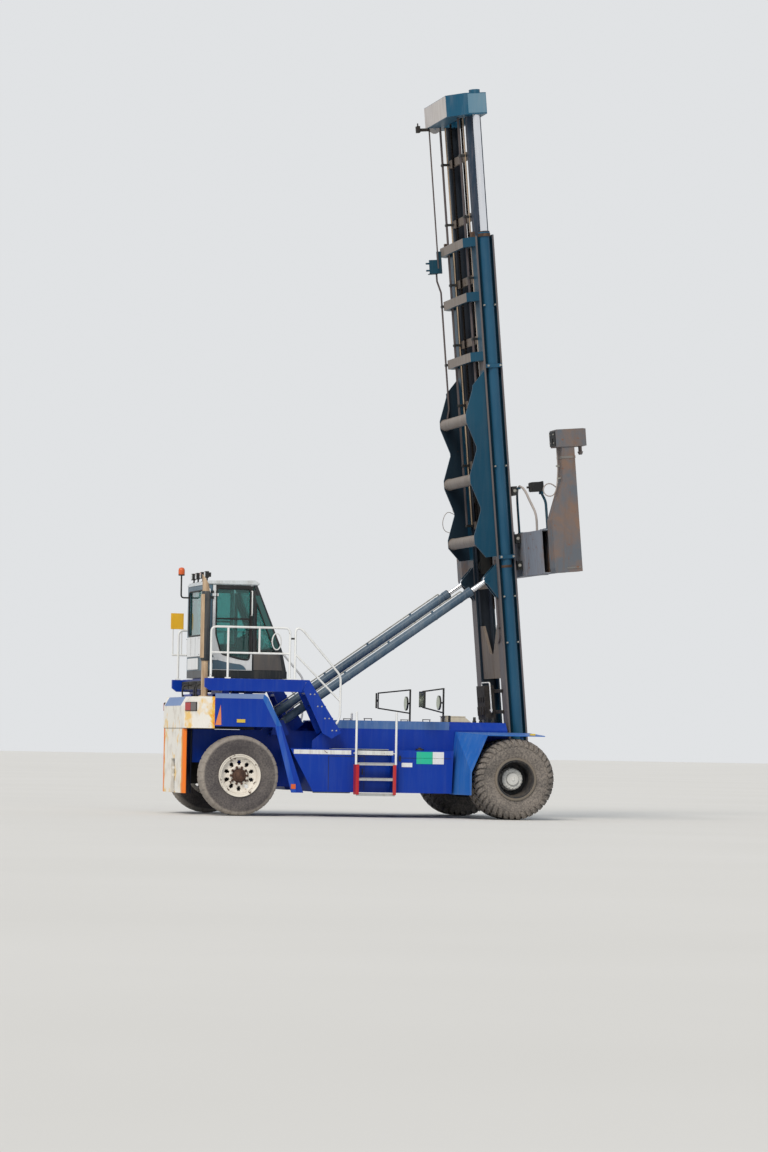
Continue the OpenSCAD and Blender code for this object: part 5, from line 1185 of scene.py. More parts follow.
skin = 0.805
sill = [(-0.352, 2.386), (-0.352, 2.62), (-0.325, 2.575), (-0.25, 2.535), (-0.12, 2.505), (0.0, 2.488),
        (0.11, 2.474), (0.165, 2.45), (0.2, 2.41), (0.215, 2.386)]
door_foot = [(0.10, 2.478), (0.17, 2.458), (0.212, 2.412), (0.23, 2.386), (0.308, 2.386), (0.308, 2.64),
             (0.262, 2.64), (0.245, 2.56), (0.12, 2.568)]
glass_line = [(0.0, 3.72), (-0.302, 3.72), (-0.302, 2.96), (-0.212, 2.64), (0.12, 2.56), (0.245, 2.545),
              (0.266, 2.6), (0.266, 3.72), (0.01, 3.72)]
grip = [(skin, 3.28), (0.86, 3.28), (0.86, 3.68), (skin, 3.68)]
for _, word, flip in sides:
    body = f"cab_door_{word}"
    place = rear_end @ flip
    piece(f"door_lower_panel_{word}", plates(sill, cab_side, skin, both=False), cab_slate,
          body, edge=0.003, place=place)
    # White foot under the glass at the front, and the dark stile above it
    piece(f"door_foot_{word}", plates(door_foot, cab_side, skin, both=False), cab_white, body,
          edge=0.003, place=place)
    # Stile, top rail, the sliding pane's bar, and the latch
    shape = boxes(((0.264, cab_side, 2.645), (0.3085, skin, 3.765)),
                  ((-0.312, cab_side, 3.7), (0.264, skin, 3.772)),
                  ((-0.29, cab_side, 3.205), (0.26, skin, 3.235)),
                  ((0.272, skin, 3.08), (0.3, 0.83, 3.2)), both=False)
    sweep(shape, rounded([(x, 0.803, z) for x, z in glass_line], 0.06), 0.013, sides=8, closed=True)
    piece(f"door_seals_{word}", shape, seal_rubber, body, place=place)
    shape = bmesh.new()
    sweep(shape, rounded([(0.286, y, z) for y, z in grip], 0.04), 0.011)
    piece(f"door_grip_{word}", shape, rail_white, body, place=place)

# Driver's seat
# A suspension seat: foam pads sewn in black cloth on a pressed pan, on a rubber bellows. A cloth
# simulation swells the pads.


def seat_cloth():
    """Woven polyester: matt, with threads drawn 6 mm apart so that they show, and a faint sheen."""
    made, tree, place = new_material("woven_seat_cloth")
    threads = []
    for way in ("X", "Z"):
        wave = node(tree, "TexWave", {"Vector": place, "Scale": 50.0}, bands_direction=way)
        threads.append(wave.outputs["Fac"])
    weave = node(tree, "Math", {0: threads[0], 1: threads[1]}, operation="MULTIPLY")
    tint = node(tree, "Mix", {0: weave, 6: linear("#17181b"), 7: linear("#3b3d42")}, data_type="RGBA")
    return finished(made, {"Base Color": tint, "Roughness": 0.9, "Sheen Weight": 0.25}, weave, depth=0.001)


def stuffed(name, shape, most):
    """Swells a closed shape like foam in a sewn cover; no point moves further than most."""
    bmesh.ops.recalc_face_normals(shape, faces=shape.faces)
    mesh = bpy.data.meshes.new(name)
    shape.to_mesh(mesh)
    shape.free()
    made = bpy.data.objects.new(name, mesh)
    scene.collection.objects.link(made)
    remesh = made.modifiers.new("remesh", "REMESH")
    remesh.mode = "VOXEL"
    remesh.voxel_size = 0.012
    graph = bpy.context.evaluated_depsgraph_get()
    made.data = bpy.data.meshes.new_from_object(made.evaluated_get(graph))
    made.modifiers.remove(remesh)
    start = [vertex.co.copy() for vertex in made.data.vertices]
    cloth = made.modifiers.new("Cloth", "CLOTH")
    cloth.settings.use_pressure = True
    cloth.settings.uniform_pressure_force = 4
    cloth.settings.effector_weights.gravity = 0
    for count in range(1, 21):
        scene.frame_set(count)
    graph = bpy.context.evaluated_depsgraph_get()
    swelled = bpy.data.meshes.new_from_object(made.evaluated_get(graph))
    made.modifiers.remove(cloth)
    for vertex, was, now in zip(made.data.vertices, start, swelled.vertices):
        move = now.co - was
        vertex.co = was + move * min(1.0, most / max(move.length, 1e-9))
    bpy.data.meshes.remove(swelled)
    scene.frame_set(1)
    finer = made.modifiers.new("finer", "SUBSURF")
    finer.levels = finer.render_levels = 1
    made.data.shade_smooth()
    made.data.materials.append(woven_cloth)
    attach(made, "chassis")
    return made


woven_cloth = seat_cloth()
seat_x, seat_floor = steer_x - 0.01, 2.37
seat_place = Matrix.Translation((seat_x, 0, seat_floor))
back_turn = Matrix.Rotation(-math.atan2(0.09, 0.63), 4, "Y")
back_place = Matrix.Translation((seat_x - 0.22, 0, seat_floor + 0.46)) @ back_turn
pads = {}
for name, low, high, place, most in (
    ("seat_cushion", (-0.235, -0.235, 0.355), (0.235, 0.235, 0.43), seat_place, 0.02),
    ("seat_back", (-0.03, -0.215, 0.015), (0.055, 0.215, 0.6), back_place, 0.02),
    ("seat_head_rest", (-0.02, -0.115, 0.645), (0.04, 0.115, 0.78), back_place, 0.012),
):
    shape = boxes((low, high), both=False)
    shape.transform(place)
    pads[name] = stuffed(name, shape, most)
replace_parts(pads["seat_cushion"], "driver_seat")
parts = [((-0.25, -0.25, 0.325), (0.25, 0.25, 0.35)), ((-0.17, -0.16, 0.002), (0.17, 0.16, 0.06))]
for i in range(7):
    wide = 0.15 if i % 2 else 0.165
    z = 0.06 + 0.038 * i
    parts.append(((-wide, -wide + 0.01, z), (wide, wide - 0.01, z + 0.038)))
piece("seat_pan_and_bellows", boxes(*parts, both=False), black_plastic, edge=0.006,
      place=seat_place)

# Steering column, wheel and controls
# A moulded column leans back to a padded rim, and a console with three levers stands to its right.

coat(black_plastic, "steering_console")
shape = boxes(((0.12, -0.44, 2.372), (0.42, -0.31, 2.93)), ((0.20, -0.43, 2.93), (0.38, -0.32, 2.95)),
              both=False)
for x in (0.24, 0.30, 0.35):
    stub(shape, (x, -0.375, 2.99), 0.012, 0.09, 12, top=0.008)
piece("side_console", shape, black_plastic, edge=0.008, place=rear_end)

# Work lamps, mirrors and beacon
# Sealed lamps in black housings with ribbed lenses, convex mirrors in rubber-edged backs, and an
# orange beacon on a stalk.

coat(black_plastic, "mirrors")
clear_lens = moulded_lens("clear_acrylic_lens", "#e8ecec", "#a8b2b4")
roof_z = 3.84
lamp_spots = (-0.56, -0.2, 0.2, 0.56)
shape = bmesh.new()
for y in lamp_spots:
    box(shape, (-0.46, y - 0.06, roof_z + 0.051), (-0.40, y + 0.06, roof_z + 0.161))
    box(shape, (-0.41, y - 0.04, roof_z + 0.07), (-0.36, y + 0.04, roof_z + 0.142))
    sweep(shape, [(-0.42, y, roof_z + 0.001), (-0.42, y, roof_z + 0.055)], 0.014)
    box(shape, (-0.445, y - 0.03, roof_z + 0.001), (-0.395, y + 0.03, roof_z + 0.009))
housings = piece("rear_lamp_housings", shape, black_plastic, edge=0.006, place=rear_end)
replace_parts(housings, "work_lamps")
lenses = [((-0.466, y - 0.05, roof_z + 0.062), (-0.4605, y + 0.05, roof_z + 0.152)) for y in lamp_spots]
piece("rear_lamp_lenses", boxes(*lenses, both=False), clear_lens, edge=0.002,
      place=rear_end)


def mirror_glass():
    """Silvered glass: a dim mirror, dulled by dust and rain spots some 30 mm across."""
    made, tree, place = new_material("silvered_mirror_glass")
    spots = node(tree, "TexNoise", {"Vector": place, "Scale": 30.0, "Detail": 6.0})
    rough = node(tree, "MapRange", {"Value": spots, "From Min": 0.4, "From Max": 0.8, "To Min": 0.05,
                                    "To Max": 0.4})
    tint = node(tree, "Mix", {0: spots, 6: linear("#8f9a86"), 7: linear("#b2b59d")}, data_type="RGBA")
    return finished(made, {"Base Color": tint, "Metallic": 0.9, "Roughness": rough})


shape = bmesh.new()
for side in (-1, 1):
    at = Matrix.Translation((-1.488, side * 1.55, 1.82)) @ Matrix.Rotation(side * math.radians(-13), 4, "Z")
    pane = box(shape, (-0.0305, side * -0.04, 0.01), (-0.0275, side * 0.13, 0.25))
    bmesh.ops.transform(shape, matrix=at, verts=pane)
    stub(shape, (-1.0972, side * 1.11, 1.905), 0.112, 0.004, 40, top=0.108, turn=facing_x.inverted())
piece("mirror_panes", shape, mirror_glass(), place=front_end)
beacon_x, beacon_y, stalk_z = steer_x - 0.61, 0.69, 3.6
shape = bmesh.new()
lathe(shape, [(0.0005, 3.988), (0.052, 3.988), (0.0545, 3.995), (0.0545, 4.06), (0.05, 4.085),
              (0.036, 4.1), (0.015, 4.108), (0.0005, 4.109)])
beacon_dome = piece("beacon_dome", shape, orange_lens,
                    place=Matrix.Translation((beacon_x, beacon_y, 0)) @ on_end)
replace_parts(beacon_dome, "beacon")
shape = bmesh.new()
sweep(shape, rounded([(steer_x + wall_x, beacon_y, stalk_z), (beacon_x, beacon_y, stalk_z),
                      (beacon_x, beacon_y, 3.97)], 0.05), 0.0135)
stub(shape, (beacon_x, beacon_y, 3.978), 0.05, 0.018, 32, top=0.055)
piece("beacon_stalk", shape, black_plastic)

# Outer mast
# Two rolled channels welded to cut plates, tubes and box crossings. Its teal paint is bright outside,
# with painted shade on the faces turned inward, and brown with grease and dust on the flange edges
# and on the rear faces of the crossings.

mast_foot, lean_back = Vector((0.42, 0, 0.6)), math.radians(-5)
mast = front_end @ Matrix.Translation(mast_foot) @ Matrix.Rotation(lean_back, 4, "Y")
# The faces turned to the middle plane take a darker colour: painted shade
mast_teal = enamel("teal_mast_enamel", "#0f4159", "#1b5068", dusty=0.25, chipped=0.15, dust="#4f5a63",
                   inner_shade="#1a232c")
tube_blue = enamel("lift_tube_enamel", "#1a4a66", "#2b5f7c", dusty=0.15, chipped=0.1, dust="#5d6c78")
greasy_edge = enamel("greasy_flange_edge", "#5f5c60", "#77706d", dusty=0.6, chipped=0.5, gloss=0.55,
                     dust="#6b6058")
dusty_tan = enamel("dusty_crossing_enamel", "#857d77", "#99908a", dusty=0.6, chipped=0.35, gloss=0.6,
                   dust="#6f6459")
dark_teal = enamel("dark_teal_enamel", "#143c4f", "#1d5064", dusty=0.45, chipped=0.3, gloss=0.45,
                   dust="#5c5850")
coat(mast_teal, "outer_rail_left", "outer_rail_right", "outer_cross_members")
coat(tube_blue, "lift_tubes")

# Grease and dust on the edges of the flanges
flange_edges = boxes(((-0.16, 0.9002, -0.24), (-0.13, 0.9022, 9.17)),
                     ((0.13, 0.9002, -0.24), (0.16, 0.9022, 9.17)),
                     ((-0.1622, 0.62, -0.24), (-0.1602, 0.9, 3.79)),
                     ((-0.1622, 0.62, 6.92), (-0.1602, 0.9, 7.07)))
piece("greasy_flange_edges", flange_edges, greasy_edge, "outer_mast", place=mast)

# Dust on the rear of the three box crossings and of the tubes
shape = bmesh.new()
for low in (7.08, 8.085, 9.0):
    box(shape, (-0.342, -0.748, low + 0.002), (-0.3402, 0.748, low + 0.148))
    box(shape, (-0.338, -0.748, low + 0.1502), (-0.292, 0.748, low + 0.1515))
piece("dusty_crossing_faces", shape, dusty_tan, "outer_mast", place=mast)
shape = bmesh.new()
for height in (4.092, 5.112, 6.132):
    tube = (-0.425, 0, height)
    lathe(shape, [(0.0922, -0.848), (0.0932, -0.848), (0.0932, 0.848), (0.0922, 0.848)], tube)
    for side in (-1, 1):
        lathe(shape, [(0.0922, side * 0.8385), (0.102, side * 0.8395), (0.0922, side * 0.8495)], tube)
piece("dusty_crossing_tubes", shape, dusty_tan, "outer_mast", place=mast)

# Bolts of the tube clamps, gland nuts, and the joint rings of the lift cylinders' tubes
bright_steel = rusted_iron("zinc_plated_steel", "#b3b4ae", "#8d8b84")
gland_brown = rusted_iron("greasy_gland_iron", "#6a5140", "#3a2c24")
shape = bmesh.new()
places = [Matrix.Translation((u, y, w)) for w in (3.78, 6.98) for y in (-0.991, 0.991)
          for u in (-0.105, 0.105)]
grow(shape, bolts, places, Count=1, Step=(0, 0, 0), Head=0.014, Steel=bright_steel)
for side in (-1, 1):
    for w in (2.35, 3.12, 5.3, 8.0):
        for u in (-0.1, 0.084):
            box(shape, (u, side * 0.9 - 0.002, w - 0.012), (u + 0.016, side * 0.97, w + 0.012))
piece("tube_clamp_bolts", shape, bright_steel, "outer_mast", place=mast)
shape = bmesh.new()
for profile in ([(0.064, 9.226), (0.092, 9.226), (0.095, 9.231), (0.095, 9.237), (0.09, 9.241),
                 (0.064, 9.241)],
                [(0.0992, 9.15), (0.104, 9.15), (0.104, 9.2), (0.0992, 9.2)],
                [(0.0855, 3.6), (0.09, 3.603), (0.09, 3.64), (0.0855, 3.643)]):
    lathe(shape, profile)
shape.transform(Matrix.Translation((0, 0.885, 0)) @ on_end)
box(shape, (-0.23, 0.825, 9.151), (-0.162, 0.895, 9.24))
twin = bmesh.ops.duplicate(shape, geom=shape.verts[:] + shape.edges[:] + shape.faces[:])["geom"]
corners = [part for part in twin if isinstance(part, bmesh.types.BMVert)]
bmesh.ops.transform(shape, matrix=mirror, verts=corners)
piece("lift_cylinder_glands", shape, gland_brown, "outer_mast", place=mast)

# Hose anchor under the top crossing's far corner, with hard pipes down to the tubes
shape = boxes(((-0.42, 0.69, 8.72), (-0.3402, 0.72, 9.1)), ((-0.56, 0.69, 8.72), (-0.42, 0.72, 8.96)),
              ((-0.56, 0.69, 8.72), (-0.40, 0.84, 8.735)), both=False)
for w in (8.78, 8.9):
    sweep(shape, [(-0.62, 0.705, w), (-0.545, 0.705, w)], 0.016)
piece("hose_anchor", shape, dark_teal, "outer_mast", edge=0.003, place=mast)
pipe_grey = enamel("dull_pipe_enamel", "#4d4649", "#6a5f5c", dusty=0.5, chipped=0.5, gloss=0.45,
                   dust="#6f6459")
pipe_tan = enamel("tan_pipe_enamel", "#b09a80", "#c9b69d", dusty=0.4, chipped=0.3, gloss=0.5)
shape = bmesh.new()
far_pipe = [(-0.42, 8.72), (-0.42, 8.6), (-0.362, 8.4), (-0.362, 6.4), (-0.40, 6.25), (-0.40, 6.18)]
for y in (0.775, 0.81):
    sweep(shape, [(u, y, w) for u, w in far_pipe], 0.011)
near_pipe = [(-0.80, 3.74), (-0.80, 2.44), (-0.72, 2.36), (-0.66, 2.36)]
sweep(shape, rounded([(-0.178, y, w) for y, w in near_pipe], 0.05), 0.012)
piece("outer_mast_pipes", shape, pipe_grey, "outer_mast", place=mast)
clamps = [((-0.376, 0.745, w - 0.02), (-0.305, 0.835, w + 0.02)) for w in (7.155, 8.16)]
clamps += [((-0.192, -0.82, w - 0.015), (-0.1605, -0.78, w + 0.015)) for w in (2.6, 3.1, 3.6)]
piece("outer_pipe_clamps", boxes(*clamps, both=False), black_plastic, "outer_mast",
      edge=0.003, place=mast)

# Valve box on two bars behind the foot of the mast, with a white pipe over it
shape = boxes(((-0.36, -0.25, 1.08), (-0.1905, 0.25, 1.65)), ((-0.19, -0.7, 1.17), (-0.1625, 0.7, 1.23)),
              ((-0.19, -0.7, 1.52), (-0.1625, 0.7, 1.58)), both=False)
for y in (-0.15, 0.0, 0.15):
    box(shape, (-0.385, y - 0.04, 1.15), (-0.36, y + 0.04, 1.3))
    box(shape, (-0.375, y - 0.03, 1.38), (-0.36, y + 0.03, 1.46))
piece("mast_valve_box", shape, black_iron, "outer_mast", edge=0.006, place=mast)
shape = boxes(((-0.285, -0.31, 1.22), (-0.255, -0.24, 1.25)), both=False)
over_box = [(-0.3, 1.2), (-0.3, 1.7), (0.22, 1.7), (0.22, 1.65)]
sweep(shape, rounded([(-0.27, y, w) for y, w in over_box], 0.05), 0.012)
piece("valve_box_pipe", shape, rail_white, "outer_mast", place=mast)

# Lift cylinder rods
# Hard chromed steel rods, ground and polished, with a faint film of oil.


def polished_chrome():
    """Hard chrome on a ground rod: bright, with a thin oil film in clouds some 300 mm across."""
    made, tree, place = new_material("polished_hard_chrome")
    film = node(tree, "TexNoise", {"Vector": place, "Scale": 3.0, "Detail": 6.0})
    rough = node(tree, "MapRange", {"Value": film, "From Min": 0.35, "From Max": 0.75, "To Min": 0.14,
                                    "To Max": 0.36})
    tint = node(tree, "Mix", {0: film, 6: linear("#f0f1f4"), 7: linear("#dcdde2")}, data_type="RGBA")
    return finished(made, {"Base Color": tint, "Metallic": 1.0, "Roughness": rough})


coat(polished_chrome(), "lift_rods", "tilt_rod_left", "tilt_rod_right")

# Inner mast
# Smaller channels run inside the outer ones on rollers. Their paint is rubbed and rusty, and the box
# head that ties them carries the lift rods, chain sheaves and a hose sheave.

# The faces turned to the middle plane take a darker colour: painted shade
inner_grey = enamel("rubbed_inner_mast_enamel", "#2e3f51", "#4b5866", dusty=0.6, chipped=0.5, gloss=0.5,
                    dust="#7a6f74", rust="#4d3d36", inner_shade="#20262e")
rung_tan = enamel("rusty_rung_enamel", "#6f665f", "#857a70", dusty=0.6, chipped=0.6, gloss=0.6,
                  dust="#665545", rust="#4a3426")
head_teal = enamel("mast_head_enamel", "#17516e", "#2d647e", dusty=0.3, chipped=0.12, dust="#8c9196")
head_blue = enamel("pale_blue_head_enamel", "#5b8299", "#7695a6", dusty=0.3, chipped=0.15, gloss=0.35,
                   dust="#9aa0a4")
head_cream = enamel("worn_cream_enamel", "#c9c4c2", "#ded8d0", dusty=0.5, chipped=0.45, gloss=0.5,
                    dust="#9c8f86", rust="#8b6a52")
coat(inner_grey, "inner_rail_left", "inner_rail_right")
coat(rung_tan, "inner_cross_members")
coat(head_teal, "mast_head")
rear_face = boxes(((-0.4622, -0.716, 11.206), (-0.4602, 0.716, 11.554)), both=False)
piece("head_rear_face", rear_face, head_cream, "inner_mast", place=mast)
side_plates = boxes(((-0.15, 0.9852, 11.22), (0.165, 0.99, 11.545)))
piece("head_side_plates", side_plates, head_blue, "inner_mast", edge=0.002, place=mast)

# Hose sheave half sunk in the head's underside, and the small lamp on a bar at the far corner
shape = bmesh.new()
lathe(shape, [(0.03, 0.575), (0.098, 0.575), (0.098, 0.582), (0.086, 0.592), (0.086, 0.608), (0.098, 0.618),
              (0.098, 0.625), (0.03, 0.625)], (-0.33, 0, 11.205), steps=48)
piece("hose_sheave", shape, head_cream, "inner_mast", place=mast)
shape = boxes(((-0.60, 0.56, 11.15), (-0.44, 0.60, 11.1999)), ((-0.66, 0.53, 11.13), (-0.60, 0.63, 11.24)),
              both=False)
sweep(shape, [(-0.63, 0.58, 11.24), (-0.63, 0.58, 11.29)], 0.012)
piece("head_lamp", shape, black_iron, "inner_mast", edge=0.002, place=mast)
pipe_foot, pipe_top = 4.38, 11.198
shape = bmesh.new()
for y in (-0.62, -0.57, 0.57, 0.62):
    sweep(shape, [(-0.235, y, pipe_foot), (-0.235, y, pipe_top)], 0.013)
# The two strands of the hose that runs over the sheave
for u, low in ((-0.429, 8.8), (-0.231, 9.2)):
    sweep(shape, [(u, 0.6, low), (u, 0.6, 11.1995)], 0.0125)
piece("inner_mast_pipes", shape, pipe_grey, "inner_mast", place=mast)
shape = bmesh.new()
for y in (-0.586, 0.586):
    sweep(shape, [(-0.15, y, pipe_foot), (-0.15, y, pipe_top)], 0.0115)
piece("pale_mast_pipes", shape, pipe_tan, "inner_mast", place=mast)
clamps = []
for w in (4.38 + 1.03 * i for i in range(7)):
    clamps += [((-0.256, 0.545, w - 0.02), (-0.212, 0.645, w + 0.02)),
               ((-0.215, 0.563, w - 0.02), (-0.1185, 0.597, w + 0.02))]
piece("inner_pipe_clamps", boxes(*clamps), black_plastic, "inner_mast", edge=0.003,
      place=mast)

# Lift chains
# Leaf chain runs from an anchor on the outer mast, over sheaves under the head, to the carriage. Its
# plates are pressed from steel strip, riveted on pins 50 mm apart, and greased.


def chain_tree():
    """A straight run of leaf chain along Z: four rows of plates, every other one half a pitch higher,
    on riveted pins."""
    tree, given = new_tree("leaf_chain", Count="Int", Pitch="Float", Wide="Float", Steel="Material")
    tall = node(tree, "Math", {0: given["Pitch"], 1: 1.75}, operation="MULTIPLY")
    size = node(tree, "CombineXYZ", {"X": 0.022, "Y": 0.005, "Z": tall})
    leaf = node(tree, "GeometryNodeMeshCube", {"Size": size})
    joined = node(tree, "GeometryNodeJoinGeometry")
    for index, shift in enumerate((-0.45, -0.15, 0.15, 0.45)):
        aside = node(tree, "Math", {0: given["Wide"], 1: shift}, operation="MULTIPLY")
        up = node(tree, "Math", {0: given["Pitch"], 1: 0.5 * (index % 2)}, operation="MULTIPLY")
        shifted = node(tree, "CombineXYZ", {"Y": aside, "Z": up})
        moved = node(tree, "GeometryNodeTransform", {"Geometry": leaf, "Translation": shifted})
        tree.links.new(moved.outputs[0], joined.inputs[0])
    pin = node(tree, "GeometryNodeMeshCylinder", {"Vertices": 8, "Radius": 0.006, "Depth": given["Wide"]})
    across = node(tree, "GeometryNodeTransform", {"Geometry": pin, "Rotation": (math.pi / 2, 0, 0)})
    tree.links.new(across.outputs[0], joined.inputs[0])
    step = node(tree, "CombineXYZ", {"Z": given["Pitch"]})
    line = node(tree, "GeometryNodeMeshLine", {"Count": given["Count"], "Offset": step})
    run = node(tree, "GeometryNodeInstanceOnPoints", {"Points": line, "Instance": joined})
    return ended(tree, run, given["Steel"])


chain_brown = rusted_iron("greased_chain_steel", "#3d3029", "#221b18")
chain = chain_tree()
chain_ys, chain_pitch, chain_top = (-0.26, 0.26), 0.05, 11.35
sheave_u, sheave_w, wrap = -0.044, 11.37, 0.095
shape = bmesh.new()
for low, u in ((2.98, 0.051), (4.15, -0.139)):
    grow(shape, chain, [Matrix.Translation((u, y, low)) for y in chain_ys],
         Count=int((chain_top - low) / chain_pitch), Pitch=chain_pitch, Wide=0.056, Steel=chain_brown)
for y in chain_ys:
    for shift in (-0.022, -0.008, 0.008, 0.022):
        sweep(shape, [(sheave_u + wrap * math.cos(a), y + shift, sheave_w + wrap * math.sin(a))
                      for a in (math.pi * k / 20 for k in range(21))], 0.006, sides=6)
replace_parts(piece("leaf_chains", shape, chain_brown, "inner_mast", place=mast), "lift_chains")
shape = bmesh.new()
for y in chain_ys:
    lathe(shape, [(0.03, -0.044), (0.11, -0.044), (0.11, -0.036), (0.083, -0.034), (0.083, 0.034),
                  (0.11, 0.036), (0.11, 0.044), (0.03, 0.044)], (sheave_u, y, sheave_w), steps=48)
sweep(shape, [(sheave_u, -0.555, sheave_w), (sheave_u, 0.555, sheave_w)], 0.03, sides=24)
piece("chain_sheaves", shape, black_iron, "inner_mast", place=mast)

# Tilt cylinders
# Honed steel barrels sprayed light blue-grey, with a bolted gland, clamp bands and a hard oil pipe.

barrel_blue = enamel("tilt_barrel_enamel", "#3d5367", "#6f8496", dusty=0.3, chipped=0.12, gloss=0.35,
                     dust="#a3a5a4")
coat(barrel_blue, "tilt_barrel_left", "tilt_barrel_right")
ram = Matrix.Translation((-3.72, 0.75, 1.5)) @ Matrix.Rotation(math.radians(-35.0858), 4, "Y")
along_x = Matrix.Rotation(-math.pi / 2, 4, "Z")
bands = (0.5, 1.4, 2.3, 3.2)
for _, word, flip in sides:
    body = f"tilt_cylinder_{word}"
    place = front_end @ flip @ ram
    shape = bmesh.new()
    for s in (*bands, 3.72):
        lathe(shape, [(0.0702, s), (0.0735, s + 0.001), (0.0735, s + 0.034), (0.0702, s + 0.035)])
    shape.transform(along_x)
    for s in bands:
        box(shape, (s, -0.02, 0.071), (s + 0.035, 0.02, 0.103))
    piece(f"barrel_bands_{word}", shape, barrel_blue, body, place=place)
    shape = bmesh.new()
    oil_pipe = [(0.22, 0, 0.071), (0.22, 0, 0.096), (3.82, 0, 0.096), (3.82, 0, 0.071)]
    sweep(shape, rounded(oil_pipe, 0.03), 0.0105)
    piece(f"barrel_pipe_{word}", shape, bright_steel, body, place=place)
    shape = bmesh.new()
    lathe(shape, [(0.0425, 3.9745), (0.073, 3.9745), (0.073, 3.983), (0.06, 3.99), (0.0425, 3.99)])
    shape.transform(along_x)
    for out in spokes(0, math.pi / 4, 8):
        stub(shape, (3.979, 0.066 * out.x, 0.066 * out.y), 0.008, 0.01, turn=facing_x)
    piece(f"gland_nut_{word}", shape, black_iron, body, place=place)

# Carriage
# Thick cut plates carry rollers in the inner rails and hooked bars for the beam. Grease and yard dust
# have turned the black paint brown.

carriage_black = enamel("greasy_carriage_enamel", "#1e2224", "#35383a", dusty=0.55, chipped=0.45, gloss=0.5,
                        dust="#4c443d", rust="#43342b")
coat(carriage_black, "carriage")
shape = bmesh.new()
for side in (-1, 1):
    for w in (3.68, 4.82):
        lathe(shape, [(0.001, side * 0.7045), (0.05, side * 0.7045), (0.046, side * 0.708),
                      (0.001, side * 0.708)], (0.018, 0, w), steps=24)
places = [Matrix.Translation((0.232, y, w)) for w in (4.875, 4.075, 3.625) for y in (-0.884, 0.884)]
grow(shape, bolts, places, Count=1, Step=(0, 0, 0), Head=0.02, Steel=bright_steel)
piece("carriage_bolts", shape, bright_steel, "lift_carriage", place=mast)

# Spreader beam
# A welded box beam, grey paint worn thin and streaked with rust at its lower edge, in which the two
# inner beams slide on pads.


def weathered_grey(name, blue, brown, mostly):
    """Grey-blue machine paint gone chalky: it turns brown in clouds 0.6 m across, in runs 55 mm wide
    and in ragged rust spots of 80 mm."""
    made, tree, place = new_material(name)
    start = 0.62 - 0.3 * mostly
    cloud = node(tree, "TexNoise", {"Vector": place, "Scale": 1.7, "Detail": 9.0, "Roughness": 0.68,
                                    "Distortion": 0.4})
    cloud = node(tree, "MapRange", {"Value": cloud, "From Min": start, "From Max": start + 0.2})
    stretch = node(tree, "Mapping", {"Vector": place, "Scale": (18.0, 18.0, 1.5)})
    run = node(tree, "TexNoise", {"Vector": stretch, "Scale": 1.0, "Detail": 7.0})
    run = node(tree, "MapRange", {"Value": run, "From Min": 0.5, "From Max": 0.75, "To Max": 0.55})
    spot = node(tree, "TexNoise", {"Vector": place, "Scale": 13.0, "Detail": 10.0, "Roughness": 0.65})
    spot = node(tree, "MapRange", {"Value": spot, "From Min": 0.62, "From Max": 0.66})
    tint = node(tree, "Mix", {0: cloud, 6: linear(blue), 7: linear(brown)}, data_type="RGBA")
    tint = node(tree, "Mix", {0: run, 6: tint, 7: linear("#6d584b")}, data_type="RGBA")
    tint = node(tree, "Mix", {0: spot, 6: tint, 7: linear("#7a4f35")}, data_type="RGBA")
    return finished(made, {"Base Color": tint, "Roughness": 0.68}, spot)


beam_grey = weathered_grey("weathered_beam_paint", "#858c98", "#8a7d78", 0.3)
arm_brown = weathered_grey("weathered_arm_paint", "#5d636b", "#7a6457", 0.6)
head_grey = weathered_grey("weathered_head_paint", "#70706f", "#857a70", 0.3)
coat(beam_grey, "spreader_beam")
coat(arm_brown, "spreader_arm_left", "spreader_arm_right")
# Collars round the beam: bottom, top, rear and front
beam_top = 4.1605
collars = [((u0, y, w0), (u1, y + 0.055, w1)) for y in (2.04, 1.0) for u0, w0, u1, w1 in (
    (0.282, 3.432, 0.668, 3.4395), (0.282, beam_top, 0.668, 4.168), (0.282, 3.432, 0.2895, 4.168),
    (0.6605, 3.432, 0.668, 4.168))]
piece("beam_collars", boxes(*collars), beam_grey, "spreader", edge=0.002, place=mast)

# Hose guide by the carriage, and a floodlight on an upright at either end of the beam
shape = boxes(((0.30, -0.78, 4.16), (0.312, -0.70, 4.93)), ((0.30, -0.80, 4.90), (0.36, -0.70, 4.93)),
              ((0.295, -0.82, beam_top), (0.37, -0.66, 4.175)), both=False)
floodlights = bmesh.new()
for y in (-2.0, 2.0):
    sweep(shape, rounded([(0.43, y, 4.16), (0.43, y, 4.62), (0.36, y, 4.78)], 0.06), 0.022)
    box(shape, (0.35, y - 0.1, 4.75), (0.38, y + 0.1, 4.79))
    box(shape, (0.37, y - 0.09, beam_top), (0.53, y + 0.09, 4.18))
    box(floodlights, (0.19, y - 0.09, 4.792), (0.36, y + 0.09, 4.95))
    box(floodlights, (0.36, y - 0.1, 4.785), (0.385, y + 0.1, 4.957))
    for rib in (y - 0.08 + 0.035 * k for k in range(5)):
        box(floodlights, (0.17, rib, 4.80), (0.191, rib + 0.01, 4.94))
    sweep(floodlights, [(0.12, y, 4.87), (0.172, y, 4.87)], 0.018)
piece("beam_brackets", shape, dark_teal, "spreader", edge=0.002, place=mast)
piece("beam_floodlights", floodlights, black_plastic, "spreader", edge=0.004, place=mast)
lenses = boxes(((0.3855, 1.915, 4.80), (0.39, 2.085, 4.942)))
piece("floodlight_lenses", lenses, clear_lens, "spreader", edge=0.002, place=mast)

# Spreader arms
# Each arm is a tapered box leg under a head with a twistlock, all of it cut and welded plate. Straps
# are welded round the leg, and hoses run up its rear.

